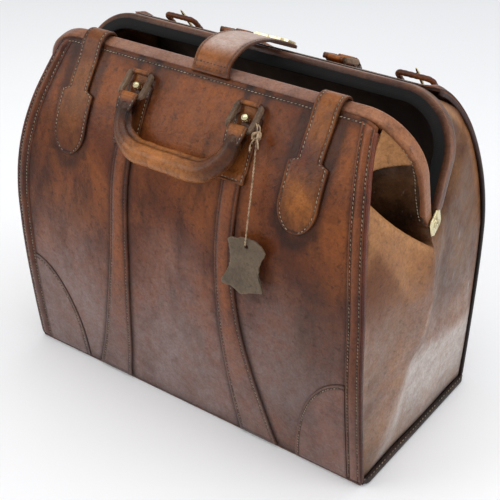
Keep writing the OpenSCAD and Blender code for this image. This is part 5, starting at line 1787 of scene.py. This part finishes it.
# buckles, in millimetres and degrees: turn is how far a loop stands back from level
buckle = {"x": 3.0, "gap": 286.0, "z": 326.0, "w": 44.0, "len": 27.0, "r": 2.8, "lift": 5.6, "turn": 132.0,
          "corners": (6.0, 3.0), "points": 140, "chape": 46.0, "roll": 3.0, "leather": 1.7,
          "prong": 1.6, "prongDrop": 4.0, "eye": 4.05}


def buckleFrame(hand, turn):
    # the bar's middle, the way out along the loop, and the way square to it
    a = math.radians(turn)
    c = np.array([buckle["x"] + hand * buckle["gap"] / 2, *axisOff(rear, buckle["z"], buckle["lift"])])
    return c, np.array([0, math.cos(a), math.sin(a)]), np.array([0, -math.sin(a), math.cos(a)])


def makeBuckle(hand):
    # a rounded rectangle of wire covered in sewn leather, thinner at its bar
    c, reach, up = buckleFrame(hand, buckle["turn"])
    half = buckle["len"] / 2
    p = roundedLoop(buckle["w"] / 2 - buckle["r"], half, *buckle["corners"], buckle["points"])
    path = c + p[:, :1] * [1.0, 0, 0] + (p[:, 1:] + half) * reach
    thick = 1 + 0.04 * np.sin(np.arange(buckle["points"]) * 0.9)
    bar = 1 - 0.12 * ramp(-p[:, 1], half - 2, half - 0.5)
    section = roundSection(buckle["r"], 14)[None] * (thick * bar)[:, None, None]
    masks = {"seam": 0.35, "wearAndPaintedLight": 0.8 * np.clip(roundSection(1, 14)[None, :, 0], 0, 1)}
    piece = sweep("buckle" + handName[hand], path, up, section, "strap", masks, closed=True)
    name = handName[hand].lower()
    carry(piece, name + "_buckle", "trim_hide", "buckle_" + name)


def makeProng(hand):
    # brass: an eye round the bar, then a tapering pin lying on the far bar
    c, reach, up = buckleFrame(hand, buckle["turn"] - buckle["prongDrop"])
    ang = np.radians(np.linspace(225, -90, 26))[:-1]
    eye = buckle["eye"] * np.stack([np.cos(ang), np.sin(ang)], -1)
    pin = np.stack([np.linspace(2, buckle["len"] + 4, 26), np.full(26, -4.0)], -1)
    line = smoothLine(np.concatenate([eye, pin]), 70, 1)
    path = c + line[:, :1] * reach + line[:, 1:] * up
    s = cumLength(path)
    size = np.interp(s, [0, s[-1] - 9, s[-1] - 1.2, s[-1]], [1.25, buckle["prong"], 0.9, 0.45])
    section = roundSection(1.0, 12)[None] * size[:, None, None]
    piece = sweep("prong" + handName[hand], path, (1, 0, 0), section, "brass")
    name = handName[hand].lower()
    carry(piece, name + "_prong", "brass", "prong_" + name)


def makeBuckleChape(hand):
    # up the wall, sewn down, and a turn round the bar with a slot for the prong
    x0 = buckle["x"] + hand * buckle["gap"] / 2
    low = wallLine(rear, np.linspace(buckle["z"] - buckle["chape"], 316, 50), 0.25, x0)
    y, top = axisOff(rear, buckle["z"], buckle["lift"])
    ang = np.radians(195 - 270 * np.linspace(0, 1, 40))
    curl = np.stack([y + buckle["roll"] * np.cos(ang), top + buckle["roll"] * np.sin(ang)], -1)
    line = smoothLine(resample(np.concatenate([low, curl]), 110), 150, 1)
    s = cumLength(line)
    at = cumLength(low)[-1]
    thick = buckle["leather"]
    parts = [ribbon("chapeRoll", line[s > at - 3], x0 + x, 4.5, thick, "strap", side=-1, across=10, groove=0,
                    masks={"wearAndPaintedLight": 0.3})[0] for x in (-8.4, 8.4)]
    flat, data = ribbon("chapeFlat", line[s <= at + 0.5], x0, 13.0, thick, "strap", side=-1, groove=2.6,
                        masks={"wearAndPaintedLight": 0.35})
    piece = join(parts + [flat], "buckleChape" + handName[hand])
    carry(piece, "rear_jaw", "trim_hide", "buckle_chape_" + handName[hand].lower())
    rows = [ribbonRow(data, x0 + e * 10.3, 1.4) for e in (-1, 1)]
    return [(p[3:-3], n[3:-3]) for p, n in rows]


rows = []
for hand in (-1, 1):
    makeBuckle(hand)
    makeProng(hand)
    rows += makeBuckleChape(hand)
carry(stitchRows("buckleStitches", rows), "rear_jaw", "rope")
repaint("brass", "lock_case", "lock_slide")
print("buckles and lock made")

# floor, a hair below the bag's base
side = np.linspace(-6000, 6000, 13)
ground = np.stack(np.meshgrid(side, side) + [np.full((13, 13), -0.05)], -1)
floorPiece = build("floor", ground, quadGrid(13, 13), "floor")

bpy.context.view_layer.update()
